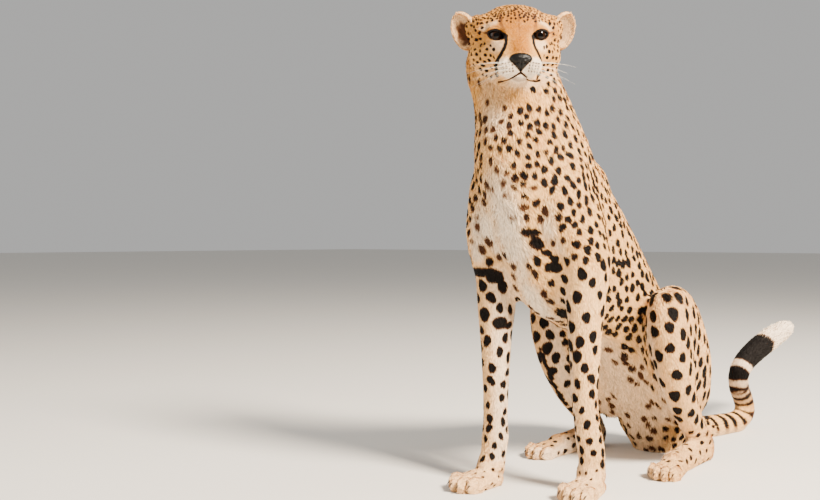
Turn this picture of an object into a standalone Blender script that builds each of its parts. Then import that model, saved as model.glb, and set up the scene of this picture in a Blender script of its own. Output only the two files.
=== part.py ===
"""A life-size model of a sitting cheetah, head turned to its left.

The body is modelled whole from lofts and ellipsoids, melted together by a voxel remesh, and then parted
with thin cuts into head, nose, neck, trunk, legs and tail.  Eyes and ears are fitted into it.
Metres, +Z up.  The animal faces -Y and its left side is +X.  The floor is Z = 0.
"""

from math import cos, pi, radians, sin

import bmesh
import bpy
from mathutils import Euler, Matrix, Vector

# ---------------------------------------------------------------- driving sizes
CUT = 0.0004  # the thin gap between neighbouring parts
VOXEL = 0.0030  # cell of the remesh that melts the forms together
NOSE_VOXEL = 0.0012
RING_SIDES = 28
STEPS_PER_SPAN = 6
SOFTENING = 110  # smoothing passes over the melted body
FLOOR_LEVEL = 0.0025  # the forms reach this far below the floor, and are cut flat there

# the head's own frame: x to its left, y backwards, z up, origin midway between the eyes and the ears
HEAD_AT = Vector((-0.0036, -0.0846, 0.8000))
HEAD_TURN = radians(41.0)  # to the animal's left
HEAD_NOD = radians(6.0)  # nose down
EYE_AT = Vector((0.0356, -0.0365, -0.0015))
EYE_RADIUS = 0.0172
LID = 0.0028
EYE_OPENING = Vector((0.0162, 0.0240, 0.0094))  # half sizes of the gap between the lids
EYE_SLANT = radians(15.0)  # outer corner up
EYE_OUTWARD = radians(5.0)
EARS = {
    "right": {"at": Vector((-0.0870, 0.018, 0.0120)), "tilt": 23.0},
    "left": {"at": Vector((0.0840, 0.018, 0.0120)), "tilt": 23.0},
}

FRONT_LEG = {
    "right": {"x": -0.080, "y": -0.036, "foot_y": -0.004, "splay": -0.10},
    "left": {"x": 0.083, "y": 0.004, "foot_y": 0.020, "splay": 0.12},
}
FORE_PAW = {"length": 0.098, "half_width": 0.035, "height": 0.038}
HIND_PAW = {"length": 0.094, "half_width": 0.033, "height": 0.036}
KNEE_X = 0.133
HOCK_X = 0.124
HIND_TOE_Y = 0.178
TAIL_RADIUS = 0.0225

# the planes that part the body
HEAD_CUT = {"at": Vector((0, 0.020, -0.037)), "slope": radians(36.0)}  # in the head's own frame
NECK_CUT = {"at": Vector((-0.006, -0.024, 0.603)), "slope": radians(17.0)}
TAIL_CUT_Y = 0.505
FORE_PAW_TOP = 0.052
FORE_LEG_TOP = 0.300
HIND_FOOT_TOP = 0.072
HAUNCH_CUT = {"x": 0.0978, "lean": radians(1.8)}

BODY_TRIANGLES = 5200
NOSE_TRIANGLES = 260
FINENESS = 0.0060  # how much the finely meshed regions resist thinning
COLOURS = {"coat": (0.80, 0.60, 0.36), "nose": (0.03, 0.025, 0.025), "eye": (0.09, 0.045, 0.015)}
ROUGHNESS = {"coat": 0.85, "nose": 0.45, "eye": 0.08}


# ---------------------------------------------------------------- scene helpers
def clear_scene():
    """Remove whatever the scene holds."""
    for obj in list(bpy.data.objects):
        bpy.data.objects.remove(obj)


def collection_named(name, hidden=False):
    made = bpy.data.collections.new(name)
    bpy.context.scene.collection.children.link(made)
    made.hide_render = hidden
    return made


def material_named(name, colour, roughness):
    made = bpy.data.materials.new(name)
    made.use_nodes = True
    shader = made.node_tree.nodes["Principled BSDF"]
    shader.inputs["Base Color"].default_value = (*colour, 1.0)
    shader.inputs["Roughness"].default_value = roughness
    return made


def add_object(name, bm, collection):
    mesh = bpy.data.meshes.new(name)
    bm.to_mesh(mesh)
    bm.free()
    obj = bpy.data.objects.new(name, mesh)
    collection.objects.link(obj)
    return obj


def evaluated_mesh(obj):
    bpy.context.view_layer.update()
    graph = bpy.context.evaluated_depsgraph_get()
    return bpy.data.meshes.new_from_object(obj.evaluated_get(graph))


def bake_modifiers(obj):
    """Replace the object's mesh by what its modifiers make of it."""
    mesh = evaluated_mesh(obj)
    obj.modifiers.clear()
    obj.data = mesh
    return obj


def joined(name, objects, collection):
    """One object that holds the meshes of several."""
    bm = bmesh.new()
    for obj in objects:
        bm.from_mesh(obj.data)
        bpy.data.objects.remove(obj)
    return add_object(name, bm, collection)


def melted(obj, voxel, smoothing):
    """Union of the object's overlapping shells, with soft creases where they meet."""
    remesh = obj.modifiers.new("melt", "REMESH")
    remesh.mode = "VOXEL"
    remesh.voxel_size = voxel
    if smoothing:
        smooth = obj.modifiers.new("soften", "SMOOTH")
        smooth.factor = 0.5
        smooth.iterations = smoothing
    return bake_modifiers(obj)


def boolean(obj, cutter, operation):
    cut = obj.modifiers.new(operation.lower(), "BOOLEAN")
    cut.operation = operation
    cut.object = cutter
    cut.solver = "EXACT"
    return bake_modifiers(obj)


# ---------------------------------------------------------------- shape helpers
def spline(a, b, c, d, t):
    """Catmull-Rom value between b and c."""
    return 0.5 * (2 * b + (c - a) * t + (2 * a - 5 * b + 4 * c - d) * t * t + (3 * b - a - 3 * c + d) * t**3)


def refined(stations, steps=STEPS_PER_SPAN):
    """Stations with smooth in-between ones.  A station is a tuple of numbers, of any length."""
    rows = [Vector(s) for s in stations]
    rows = [2 * rows[0] - rows[1], *rows, 2 * rows[-1] - rows[-2]]
    fine = []
    for i in range(1, len(rows) - 2):
        for k in range(steps):
            fine.append(spline(rows[i - 1], rows[i], rows[i + 1], rows[i + 2], k / steps))
    fine.append(rows[-2])
    return fine


def loft(name, stations, front, collection, square=2.0, sides=RING_SIDES):
    """A closed body through stations (x, y, z, half width, depth in front, depth behind).

    front is the direction, roughly square to the path, that the "in front" depth points in.
    """
    rows = refined(stations)
    centres = [Vector(r[:3]) for r in rows]
    bm = bmesh.new()
    rings = []
    for i, row in enumerate(rows):
        along = (centres[min(i + 1, len(rows) - 1)] - centres[max(i - 1, 0)]).normalized()
        ahead = (Vector(front) - along * along.dot(Vector(front))).normalized()
        aside = along.cross(ahead)
        ring = []
        for k in range(sides):
            angle = 2 * pi * k / sides
            c, s = cos(angle), sin(angle)
            reach = (abs(c) ** square + abs(s) ** square) ** (-1 / square)
            depth = row[4] if s > 0 else row[5]
            ring.append(bm.verts.new(centres[i] + aside * (row[3] * c * reach) + ahead * (depth * s * reach)))
        rings.append(ring)
    for lower, upper in zip(rings, rings[1:]):
        for k in range(sides):
            bm.faces.new((lower[k], lower[(k + 1) % sides], upper[(k + 1) % sides], upper[k]))
    for ring, outward in ((rings[0], -1), (rings[-1], 1)):
        end = 0 if outward < 0 else len(rows) - 1
        near = 1 if outward < 0 else len(rows) - 2
        along = (centres[end] - centres[near]).normalized()
        cap = 0.5 * min(rows[end][3], rows[end][4], rows[end][5])
        tip = bm.verts.new(centres[end] + along * cap)
        for k in range(sides):
            bm.faces.new((ring[k], ring[(k + 1) % sides], tip))
    bmesh.ops.recalc_face_normals(bm, faces=bm.faces)
    return add_object(name, bm, collection)


def ellipsoid(name, centre, radii, collection, turn=(0, 0, 0), segments=32):
    """An ellipsoid; turn is its rotation in degrees about x, y and z."""
    bm = bmesh.new()
    bmesh.ops.create_uvsphere(bm, u_segments=segments, v_segments=segments // 2, radius=1.0)
    spin = Euler([radians(a) for a in turn]).to_matrix().to_4x4()
    bm.transform(Matrix.Translation(centre) @ spin @ Matrix.Diagonal((*radii, 1.0)))
    return add_object(name, bm, collection)


def block(name, centre, half, collection, turn=Matrix.Identity(3)):
    """A box with its own axes, used as a cutter."""
    bm = bmesh.new()
    bmesh.ops.create_cube(bm, size=2.0)
    bm.transform(Matrix.Translation(centre) @ turn.to_4x4() @ Matrix.Diagonal((*half, 1.0)))
    obj = add_object(name, bm, collection)
    obj.hide_render = True
    obj.display_type = "WIRE"
    return obj


def head_frame():
    """The matrix that takes the head's own frame to the body's."""
    turn = Matrix.Rotation(HEAD_TURN, 4, "Z") @ Matrix.Rotation(HEAD_NOD, 4, "X")
    return Matrix.Translation(HEAD_AT) @ turn


def head_forward():
    """The way the nose points."""
    return head_frame().to_3x3() @ Vector((0, -1, 0))


def place_head(obj):
    obj.data.transform(head_frame())
    return obj


def mm(*values):
    return Vector([v / 1000 for v in values])


# ---------------------------------------------------------------- the body
def trunk_and_neck(bin_):
    """From the rump on the floor, up the sloping back, to the ruff behind the head."""
    return loft(
        "trunk_form",
        [
            (0, 0.462, 0.020, 0.066, 0.066, 0.034),
            (0, 0.446, 0.070, 0.084, 0.086, 0.048),
            (0, 0.426, 0.125, 0.093, 0.096, 0.066),
            (0, 0.392, 0.180, 0.098, 0.104, 0.080),
            (0, 0.325, 0.262, 0.092, 0.106, 0.086),
            (0, 0.250, 0.335, 0.086, 0.114, 0.094),
            (0, 0.165, 0.405, 0.093, 0.152, 0.102),
            (0, 0.083, 0.468, 0.100, 0.176, 0.106),
            (-0.002, 0.018, 0.535, 0.099, 0.154, 0.098),
            (-0.006, -0.024, 0.603, 0.096, 0.126, 0.100),
            (-0.014, -0.038, 0.665, 0.087, 0.098, 0.086),
            (-0.024, -0.046, 0.715, 0.083, 0.083, 0.066),
            (-0.033, -0.052, 0.758, 0.086, 0.078, 0.058),
            (-0.030, -0.052, 0.792, 0.076, 0.066, 0.052),
            (-0.026, -0.054, 0.815, 0.050, 0.050, 0.040),
        ],
        (0, -0.7, -0.7),
        bin_,
    )


def shoulder(side, bin_):
    """Shoulder blade, point of the shoulder and upper arm, sunk in the chest."""
    s = 1 if side == "left" else -1
    leg = FRONT_LEG[side]
    x, y = leg["x"], leg["y"]
    lead = y * 0.5
    arm = loft(
        f"upper_arm_{side}",
        [
            (s * 0.074, y - 0.026, 0.520, 0.036, 0.046, 0.070),
            (s * 0.079, y - 0.018, 0.460, 0.040, 0.052, 0.070),
            (x, y + 0.002, 0.405, 0.0375, 0.052, 0.058),
            (x, y + 0.006, 0.365, 0.033, 0.044, 0.044),
        ],
        (0, -1, 0),
        bin_,
    )
    blade = (s * 0.050, lead + 0.060, 0.538)
    point = (s * 0.063, lead - 0.040, 0.530)
    flank = (s * 0.052, lead + 0.060, 0.440)
    return [
        arm,
        ellipsoid("blade", blade, (0.036, 0.060, 0.062), bin_, turn=(-38, s * -6, 0)),
        ellipsoid("shoulder", point, (0.046, 0.056, 0.092), bin_, turn=(-12, 0, 0)),
        ellipsoid("flank", flank, (0.046, 0.080, 0.080), bin_, turn=(-30, 0, 0)),
    ]


def toes(name, heel, size, heading, bin_):
    """A paw: a low pad with four toes spread at its front.  heading is its direction from -Y, in radians."""
    length, half_width, height = size["length"], size["half_width"], size["height"]
    turn = Matrix.Rotation(heading, 3, "Z")
    ahead = turn @ Vector((0, -1, 0))
    aside = turn @ Vector((1, 0, 0))
    stations = []
    for share, wide, deep, lift in (
        (0.00, 0.66, 0.42, 0.42),
        (0.25, 0.82, 0.52, 0.44),
        (0.55, 0.94, 0.46, 0.42),
        (0.78, 0.88, 0.36, 0.38),
    ):
        at = heel + ahead * length * share + Vector((0, 0, height * lift))
        stations.append((*at, half_width * wide, height * deep, height * (lift + 0.06)))
    made = [loft(f"{name}_pad", stations, (0, 0, 1), bin_)]
    for place, reach in ((-0.69, 0.85), (-0.25, 0.97), (0.25, 0.97), (0.69, 0.85)):
        centre = heel + ahead * length * reach * 0.92 + aside * half_width * place
        centre.z += height * 0.40
        radii = (half_width * 0.29, length * 0.21, height * 0.47)
        fan = heading * 180 / pi + place * -10
        made.append(ellipsoid(f"{name}_toe", centre, radii, bin_, turn=(-8, 0, fan)))
    return made


def front_leg(side, bin_):
    """Straight fore leg from the elbow down to the paw."""
    leg = FRONT_LEG[side]
    x, y, foot_y = leg["x"], leg["y"], leg["foot_y"]
    drift = 0.008 if side == "left" else 0.0
    shank = loft(
        f"fore_leg_{side}",
        [
            (x, y + 0.012, 0.430, 0.036, 0.046, 0.056),
            (x, y + 0.006, 0.380, 0.0365, 0.045, 0.048),
            (x, y + 0.002, 0.330, 0.0330, 0.038, 0.040),
            (x, y, 0.280, 0.0285, 0.031, 0.034),
            (x, y, 0.230, 0.0250, 0.027, 0.029),
            (x, y, 0.175, 0.0225, 0.024, 0.025),
            (x + drift * 0.3, y + foot_y * 0.2, 0.125, 0.0218, 0.023, 0.024),
            (x + drift * 0.6, y + foot_y * 0.5, 0.090, 0.0238, 0.023, 0.026),
            (x + drift, y + foot_y * 0.8 - 0.004, 0.060, 0.0232, 0.023, 0.025),
            (x + drift, y + foot_y - 0.012, 0.032, 0.0270, 0.026, 0.025),
        ],
        (0, -1, 0),
        bin_,
    )
    elbow = ellipsoid(f"elbow_{side}", (x, y + 0.044, 0.390), (0.021, 0.022, 0.032), bin_, turn=(25, 0, 0))
    heel = Vector((x + drift, y + foot_y + 0.002, 0.0))
    paw = toes(f"fore_paw_{side}", heel, FORE_PAW, leg["splay"], bin_)
    return [shank, elbow, *paw]


def hind_leg(side, bin_):
    """Folded hind leg: haunch, shin down to the hock, and long foot flat on the floor."""
    s = 1 if side == "left" else -1
    haunch = loft(
        f"haunch_{side}",
        [
            (s * 0.060, 0.425, 0.130, 0.060, 0.090, 0.062),
            (s * 0.082, 0.375, 0.190, 0.060, 0.100, 0.084),
            (s * 0.100, 0.312, 0.244, 0.054, 0.092, 0.096),
            (s * 0.120, 0.250, 0.292, 0.044, 0.072, 0.080),
            (s * KNEE_X, 0.208, 0.325, 0.033, 0.044, 0.050),
        ],
        (0, -0.6, -0.8),
        bin_,
    )
    shin = loft(
        f"shin_{side}",
        [
            (s * KNEE_X, 0.214, 0.348, 0.029, 0.034, 0.046),
            (s * 0.134, 0.218, 0.290, 0.034, 0.043, 0.062),
            (s * 0.133, 0.240, 0.214, 0.033, 0.040, 0.064),
            (s * 0.129, 0.286, 0.140, 0.027, 0.033, 0.042),
            (s * HOCK_X, 0.344, 0.083, 0.022, 0.028, 0.026),
            (s * HOCK_X, 0.385, 0.048, 0.021, 0.026, 0.024),
        ],
        (0, -1, -0.4),
        bin_,
    )
    foot = loft(
        f"hind_foot_{side}",
        [
            (s * HOCK_X, 0.405, 0.034, 0.0205, 0.030, 0.036),
            (s * HOCK_X, 0.360, 0.026, 0.0205, 0.030, 0.029),
            (s * (HOCK_X + 0.003), 0.300, 0.022, 0.0225, 0.024, 0.025),
            (s * (HOCK_X + 0.006), 0.250, 0.020, 0.0265, 0.024, 0.023),
        ],
        (0, 0, 1),
        bin_,
    )
    hip = ellipsoid(f"hip_{side}", (s * 0.066, 0.360, 0.215), (0.062, 0.100, 0.090), bin_, turn=(-42, 0, 0))
    heel = Vector((s * (HOCK_X + 0.007), HIND_TOE_Y + 0.092, 0.0))
    paw = toes(f"hind_paw_{side}", heel, HIND_PAW, s * 0.10, bin_)
    return [haunch, shin, foot, hip, *paw]


def tail(bin_):
    """Lying straight back on the floor, then curling up to a thick tip."""
    r = TAIL_RADIUS
    path = [
        (0.000, 0.440, 0.085, 1.45),
        (0.000, 0.490, 0.054, 1.32),
        (0.006, 0.550, 0.026, 1.22),
        (0.020, 0.620, 0.024, 1.15),
        (0.034, 0.690, 0.023, 1.10),
        (0.044, 0.745, 0.024, 1.06),
        (0.050, 0.777, 0.040, 1.03),
        (0.050, 0.772, 0.072, 1.01),
        (0.050, 0.750, 0.100, 1.00),
        (0.050, 0.744, 0.130, 1.03),
        (0.052, 0.769, 0.158, 1.10),
        (0.056, 0.820, 0.181, 1.22),
        (0.060, 0.875, 0.198, 1.27),
        (0.064, 0.930, 0.213, 1.23),
        (0.068, 0.975, 0.224, 1.06),
        (0.070, 1.002, 0.231, 0.74),
    ]
    return loft("tail_form", [(x, y, z, r * k, r * k, r * k) for x, y, z, k in path], (1, 0, 0), bin_)


# ---------------------------------------------------------------- the head
def head_forms(bin_):
    """Skull, cheeks, muzzle, jaw and lids, made in the head's own frame and put in place."""
    forms = [
        loft(
            "head_core",
            [
                (*mm(-8, 74, -24), *mm(34, 34, 40)),
                (*mm(-4, 52, -14), *mm(58, 60, 58)),
                (*mm(-1, 20, -10), *mm(67, 68, 64)),
                (*mm(0, -8, -12), *mm(66, 63, 70)),
                (*mm(0, -28, -16), *mm(59, 50, 67)),
                (*mm(0, -44, -24), *mm(50, 39, 58)),
                (*mm(0, -60, -36), *mm(42, 31, 47)),
                (*mm(0, -75, -46), *mm(34, 25, 36)),
                (*mm(0, -87, -52), *mm(28, 18, 26)),
                (*mm(0, -96, -54), *mm(19, 11, 13)),
            ],
            (0, 0, 1),
            bin_,
            square=2.45,
        ),
        ellipsoid("forehead", mm(0, -16, 14), mm(44, 41, 36), bin_, turn=(20, 0, 0)),
        ellipsoid("bridge", mm(0, -67, -17), mm(22, 43, 15), bin_, turn=(45, 0, 0)),
        ellipsoid("chin", mm(0, -77, -71), mm(17, 19, 14), bin_, turn=(12, 0, 0)),
    ]
    for s in (-1, 1):
        lid_at = Vector((s * EYE_AT.x, EYE_AT.y, EYE_AT.z))
        forms += [
            ellipsoid("cheek", mm(s * 41, 10, -30), mm(39, 48, 42), bin_, turn=(0, 0, s * 14)),
            ellipsoid("temple", mm(s * 49, 6, 6), mm(31, 38, 36), bin_),
            ellipsoid("ear_base", mm(s * 64, 20, 17), mm(23, 18, 25), bin_),
            ellipsoid("brow", mm(s * 30, -33, 16), mm(24, 17, 11), bin_, turn=(0, s * 16, s * -20)),
            ellipsoid("cheekbone", mm(s * 38, -24, -29), mm(28, 32, 26), bin_, turn=(0, 0, s * -20)),
            ellipsoid("whisker_pad", mm(s * 18, -79, -55), mm(21, 24, 17), bin_, turn=(6, 0, s * 10)),
            ellipsoid("lids", lid_at, (EYE_RADIUS + LID,) * 3, bin_),
        ]
    return [place_head(form) for form in forms]


def nose_form(bin_):
    """The bare leather at the muzzle's tip."""
    top = ellipsoid("nose_top", mm(0, -95.5, -43.5), mm(19.5, 10, 10.5), bin_, turn=(-28, 0, 0))
    low = ellipsoid("nose_low", mm(0, -94, -52), mm(10, 8.5, 9), bin_, turn=(-8, 0, 0))
    nose = melted(joined("nose", [top, low], bin_), NOSE_VOXEL, 8)
    nose.modifiers.new("thin", "DECIMATE").ratio = NOSE_TRIANGLES / (2 * len(nose.data.vertices))
    return place_head(bake_modifiers(nose))


def grown(obj, by):
    """A copy of a closed body, a little larger all round."""
    copy = obj.copy()
    copy.data = obj.data.copy()
    bpy.context.scene.collection.objects.link(copy)
    grow = copy.modifiers.new("grow", "DISPLACE")
    grow.strength = by
    grow.mid_level = 0.0
    return bake_modifiers(copy)


def ear(side, bin_):
    """A round cup, open to the front and outwards."""
    s = 1 if side == "left" else -1
    at = EARS[side]["at"]
    turn = Matrix.Rotation(s * radians(24), 4, "Z") @ Matrix.Rotation(s * radians(EARS[side]["tilt"]), 4, "Y")
    outer = ellipsoid("ear_outer", (0, 0, 0), mm(23, 16, 35), bin_, segments=14)
    inner = ellipsoid("ear_inner", mm(0, -10.5, 1.5), mm(19.5, 16, 31), bin_, segments=14)
    cup = boolean(outer, inner, "DIFFERENCE")
    bpy.data.objects.remove(inner)
    cup.data.transform(Matrix.Translation(at) @ turn)
    cup.name = f"ear_{side}"
    return place_head(cup)


def eye_opening(s, bin_):
    """The almond between the lids, as a cutter."""
    made = ellipsoid(f"eye_opening_{s}", (0, 0, 0), EYE_OPENING, bin_, segments=24)
    turn = Matrix.Rotation(s * EYE_OUTWARD, 4, "Z") @ Matrix.Rotation(-s * EYE_SLANT, 4, "Y")
    ahead = turn @ Vector((0.0, 0.0015 - EYE_OPENING.y, 0.0))
    made.data.transform(Matrix.Translation(Vector((s * EYE_AT.x, EYE_AT.y, EYE_AT.z)) + ahead) @ turn)
    return place_head(made)


def eyeball(s, radius, bin_, segments=12):
    at = (s * EYE_AT.x, EYE_AT.y, EYE_AT.z)
    return place_head(ellipsoid(f"eyeball_{s}", at, (radius,) * 3, bin_, segments=segments))


def regions():
    """Boxes that part the body, in order: name, centre, half size, rotation."""
    level = Matrix.Identity(3)
    head = head_frame()
    head_turn = head.to_3x3() @ Matrix.Rotation(HEAD_CUT["slope"], 3, "X")
    neck_turn = Matrix.Rotation(NECK_CUT["slope"], 3, "X")
    head_box = head @ HEAD_CUT["at"] + head_turn @ Vector((0, 0, 0.15))
    neck_box = NECK_CUT["at"] + neck_turn @ Vector((0, 0, 0.2))
    rows = [
        ("head", head_box, Vector((0.2, 0.2, 0.15)), head_turn),
        ("neck", neck_box, Vector((0.25, 0.2, 0.2)), neck_turn),
        ("tail", Vector((0, TAIL_CUT_Y + 0.4, 0.1)), Vector((0.3, 0.4, 0.3)), level),
    ]
    for s, side in ((-1, "right"), (1, "left")):
        leg_y = FRONT_LEG[side]["y"]
        lean = Matrix.Rotation(-s * HAUNCH_CUT["lean"], 3, "Y")
        haunch = Vector((s * HAUNCH_CUT["x"], 0.315, 0.208)) + lean @ Vector((s * 0.1, 0, 0))
        fore_paw = Vector((s * 0.15, leg_y - 0.05, FORE_PAW_TOP - 0.1))
        fore_leg = Vector((s * 0.15, leg_y - 0.02, FORE_LEG_TOP - 0.2))
        hind_foot = Vector((s * 0.1945, 0.30, HIND_FOOT_TOP - 0.1))
        rows += [
            (f"fore_paw_{side}", fore_paw, Vector((0.14, 0.13, 0.1)), level),
            (f"fore_leg_{side}", fore_leg, Vector((0.105, 0.085, 0.2)), level),
            (f"hind_foot_{side}", hind_foot, Vector((0.1, 0.2, 0.1)), level),
            (f"haunch_{side}", haunch, Vector((0.1, 0.165, 0.163)), lean),
        ]
    return rows


def part_off(body, name, centre, half, turn, collection, bin_):
    """Cut the part of the body inside a box away as an object of its own, a thin gap from the rest."""
    piece = body.copy()
    piece.data = body.data.copy()
    piece.name = name
    collection.objects.link(piece)
    inner = block(f"{name}_region", centre, half, bin_, turn)
    outer = block(f"{name}_gap", centre, half + Vector((CUT, CUT, CUT)), bin_, turn)
    boolean(piece, inner, "INTERSECT")
    boolean(body, outer, "DIFFERENCE")
    for cutter in (inner, outer):
        bpy.data.objects.remove(cutter)


def set_down(collection):
    """Move everything so that the floor is Z = 0 and the origin is the middle of the footprint."""
    corners = [v.co for obj in collection.objects for v in obj.data.vertices]
    low = Vector([min(c[i] for c in corners) for i in range(3)])
    high = Vector([max(c[i] for c in corners) for i in range(3)])
    shift = Vector((-(low.x + high.x) / 2, -(low.y + high.y) / 2, -low.z))
    for obj in collection.objects:
        obj.data.transform(Matrix.Translation(shift))


def dress(collection):
    """Give each part its material."""
    for obj in collection.objects:
        kind = obj.name.split("_")[0]
        kind = kind if kind in COLOURS else "coat"
        obj.data.materials.clear()
        obj.data.materials.append(material_named(f"{kind}_{obj.name}", COLOURS[kind], ROUGHNESS[kind]))


def ramp(value, low, high):
    """0 below low, 1 above high, straight in between."""
    return min(max((value - low) / (high - low), 0.0), 1.0)


def softness(at):
    """How far a point of the melted body is smoothed: the trunk most, head, legs and tail little."""
    trunk = ramp(at.z, 0.30, 0.42) * ramp(0.76 - at.z, 0.0, 0.06)
    rump = ramp(at.y, 0.10, 0.16) * ramp(0.50 - at.y, 0.0, 0.03) * ramp(at.z, 0.10, 0.20)
    head = 0.14 * ramp(at.z, 0.66, 0.72)
    for s in (-1, 1):
        eye = head_frame() @ Vector((s * EYE_AT.x, EYE_AT.y, EYE_AT.z))
        head *= ramp((at - eye).length, 0.016, 0.032)
    return max(trunk, rump, head, 0.03)


def fineness(at):
    """How densely a point is meshed."""
    to_head = (at - HEAD_AT).length
    paw = ramp(0.075 - at.z, 0.0, 0.02) * ramp(0.46 - at.y, 0.0, 0.02)
    front = ramp(0.115 - (at - HEAD_AT - head_forward() * 0.05).length, 0.0, 0.03)
    return max(0.35 * ramp(0.150 - to_head, 0.0, 0.03), 0.97 * front, 0.02 * paw)


def weighted(obj, name, rule):
    """A vertex group whose weights follow a rule of position."""
    group = obj.vertex_groups.new(name=name)
    for vertex in obj.data.vertices:
        group.add([vertex.index], rule(vertex.co), "REPLACE")
    return group


def softened(obj, group, iterations):
    """Smooth the surface, as much as the group's weights say."""
    smooth = obj.modifiers.new("soften", "SMOOTH")
    smooth.factor = 0.5
    smooth.iterations = iterations
    smooth.vertex_group = group.name


def thinned(obj, count, group):
    """Reduce the mesh to about count triangles."""
    thin = obj.modifiers.new("thin", "DECIMATE")
    thin.ratio = count / (2 * len(obj.data.vertices))
    thin.vertex_group = group.name
    thin.invert_vertex_group = True
    thin.vertex_group_factor = FINENESS
    return bake_modifiers(obj)


def main():
    clear_scene()
    made = collection_named("cheetah")
    bin_ = collection_named("helpers", hidden=True)
    forms = [trunk_and_neck(bin_), tail(bin_), *head_forms(bin_)]
    for side in ("left", "right"):
        forms += shoulder(side, bin_) + front_leg(side, bin_) + hind_leg(side, bin_)
    body = melted(joined("body", forms, made), VOXEL, 6)
    softened(body, weighted(body, "soft", softness), SOFTENING)
    body = bake_modifiers(body)
    body.vertex_groups.clear()
    body = thinned(body, BODY_TRIANGLES, weighted(body, "fine", fineness))
    body = boolean(body, block("floor", (0, 0.4, FLOOR_LEVEL - 0.1), (0.5, 1.0, 0.1), bin_), "DIFFERENCE")
    for s, side in ((-1, "right"), (1, "left")):
        for cutter in (eye_opening(s, bin_), eyeball(s, EYE_RADIUS + CUT, bin_)):
            body = boolean(body, cutter, "DIFFERENCE")
            bpy.data.objects.remove(cutter)
        eyeball(s, EYE_RADIUS, made).name = f"eye_{side}"
    nose = nose_form(made)
    pocket = grown(nose, CUT)
    boolean(body, pocket, "DIFFERENCE")
    bpy.data.objects.remove(pocket)
    skull = grown(body, CUT)
    for side in ("left", "right"):
        boolean(ear(side, made), skull, "DIFFERENCE")
    bpy.data.objects.remove(skull)
    for name, centre, half, turn in regions():
        part_off(body, name, centre, half, turn, made, bin_)
    body.name = "trunk"
    set_down(made)
    dress(made)


main()
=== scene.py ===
"""The looks of a life-size sitting cheetah: skin, coat, eyes, nose, claws and whiskers, and a plain stage."""

import math
from itertools import product

import bmesh
import bpy
import numpy as np
from bpy.props import FloatProperty, FloatVectorProperty, IntProperty, PointerProperty
from mathutils import Matrix, Vector
from mathutils.bvhtree import BVHTree
from mathutils.kdtree import KDTree


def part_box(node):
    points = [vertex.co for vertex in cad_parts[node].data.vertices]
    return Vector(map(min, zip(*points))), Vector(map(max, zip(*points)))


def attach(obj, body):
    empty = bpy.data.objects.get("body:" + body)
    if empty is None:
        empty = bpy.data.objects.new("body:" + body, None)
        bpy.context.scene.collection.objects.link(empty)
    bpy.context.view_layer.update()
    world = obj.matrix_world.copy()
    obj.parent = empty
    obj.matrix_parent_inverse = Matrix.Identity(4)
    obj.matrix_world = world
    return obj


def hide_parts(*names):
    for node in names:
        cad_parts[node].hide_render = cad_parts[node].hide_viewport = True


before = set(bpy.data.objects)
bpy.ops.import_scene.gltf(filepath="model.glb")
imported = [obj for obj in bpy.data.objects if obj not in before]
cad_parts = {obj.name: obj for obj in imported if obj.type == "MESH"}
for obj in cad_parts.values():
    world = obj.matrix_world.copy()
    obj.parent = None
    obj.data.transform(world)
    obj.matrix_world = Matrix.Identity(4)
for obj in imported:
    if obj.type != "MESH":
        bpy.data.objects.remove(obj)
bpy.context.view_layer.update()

bl_info = {
    "name": "Sitting cheetah",
    "version": (1, 0, 0),
    "blender": (4, 5, 0),
    "location": "3D View > Sidebar > Cheetah",
    "description": "Skin, coat, eyes, nose, claws and whiskers of a sitting cheetah, and its stage",
    "category": "Add Mesh",
}

MM = 0.001
BOTH = (-1, 1)  # the animal's right and left side
EYES = ("eye_left", "eye_right")
EARS = ("ear_left", "ear_right")
FLESH = tuple(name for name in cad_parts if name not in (*EYES, *EARS, "nose"))
FORM = (*FLESH, *EYES, "nose")  # the solids that the skin is melted from
# coat by region: hair length, hair width, depth of the coat over the skin, in mm
REGIONS = {
    "head": (7.0, 1.15, 2.2),
    "ear": (6.0, 1.0, 1.6),
    "neck": (13.0, 1.45, 4.4),
    "trunk": (10.0, 1.4, 3.4),
    "tail": (11.0, 1.35, 3.6),
    "fore_leg": (8.0, 1.25, 2.4),
    "fore_paw": (6.5, 1.1, 1.6),
    "haunch": (9.5, 1.35, 3.0),
    "hind_foot": (7.5, 1.15, 1.8),
}
REGION_NAMES = tuple(REGIONS)
# which way the hair of legs and feet lies
LEG_LIE = (
    ("fore_leg", (0, 0, -1)),
    ("fore_paw", (0, -0.9, -0.45)),
    ("haunch", (0, 0.35, -0.94)),
    ("hind_foot", (0, -0.95, -0.3)),
)
# coat pieces: name and regions; a piece is cut into slices of at most MOST_TUFTS
COAT_PIECES = (
    ("head", ("head", "ear")),
    ("neck", ("neck",)),
    ("trunk", ("trunk",)),
    ("tail", ("tail",)),
    ("fore_legs", ("fore_leg", "fore_paw")),
    ("haunches", ("haunch",)),
    ("hind_feet", ("hind_foot",)),
)
MOST_TUFTS = 66000  # in one coat piece, at 3 triangles each
SKIN_TRIANGLES = 190000  # of the finished skin
SPOT_TRIES = 60000
SPOT_CELL = 0.012  # of the grid that spots are looked up in
CLOSENESS = 0.88  # of the spots' spacing that two of them must keep
UV_PATCH = 0.003  # width of a tuft's patch in its UV map
# the middle line of neck and trunk, from behind the head to the rump, in metres
SPINE = (
    (-0.030, -0.472, 0.800), (-0.014, -0.458, 0.663), (-0.002, -0.402, 0.533), (0.0, -0.255, 0.403),
    (0.0, -0.095, 0.260), (0.0, 0.006, 0.123), (0.0, 0.042, 0.018),
)
BEHIND = (0, 1.0, 0.5)
BELOW = (0, -1.0, -0.35)
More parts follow.
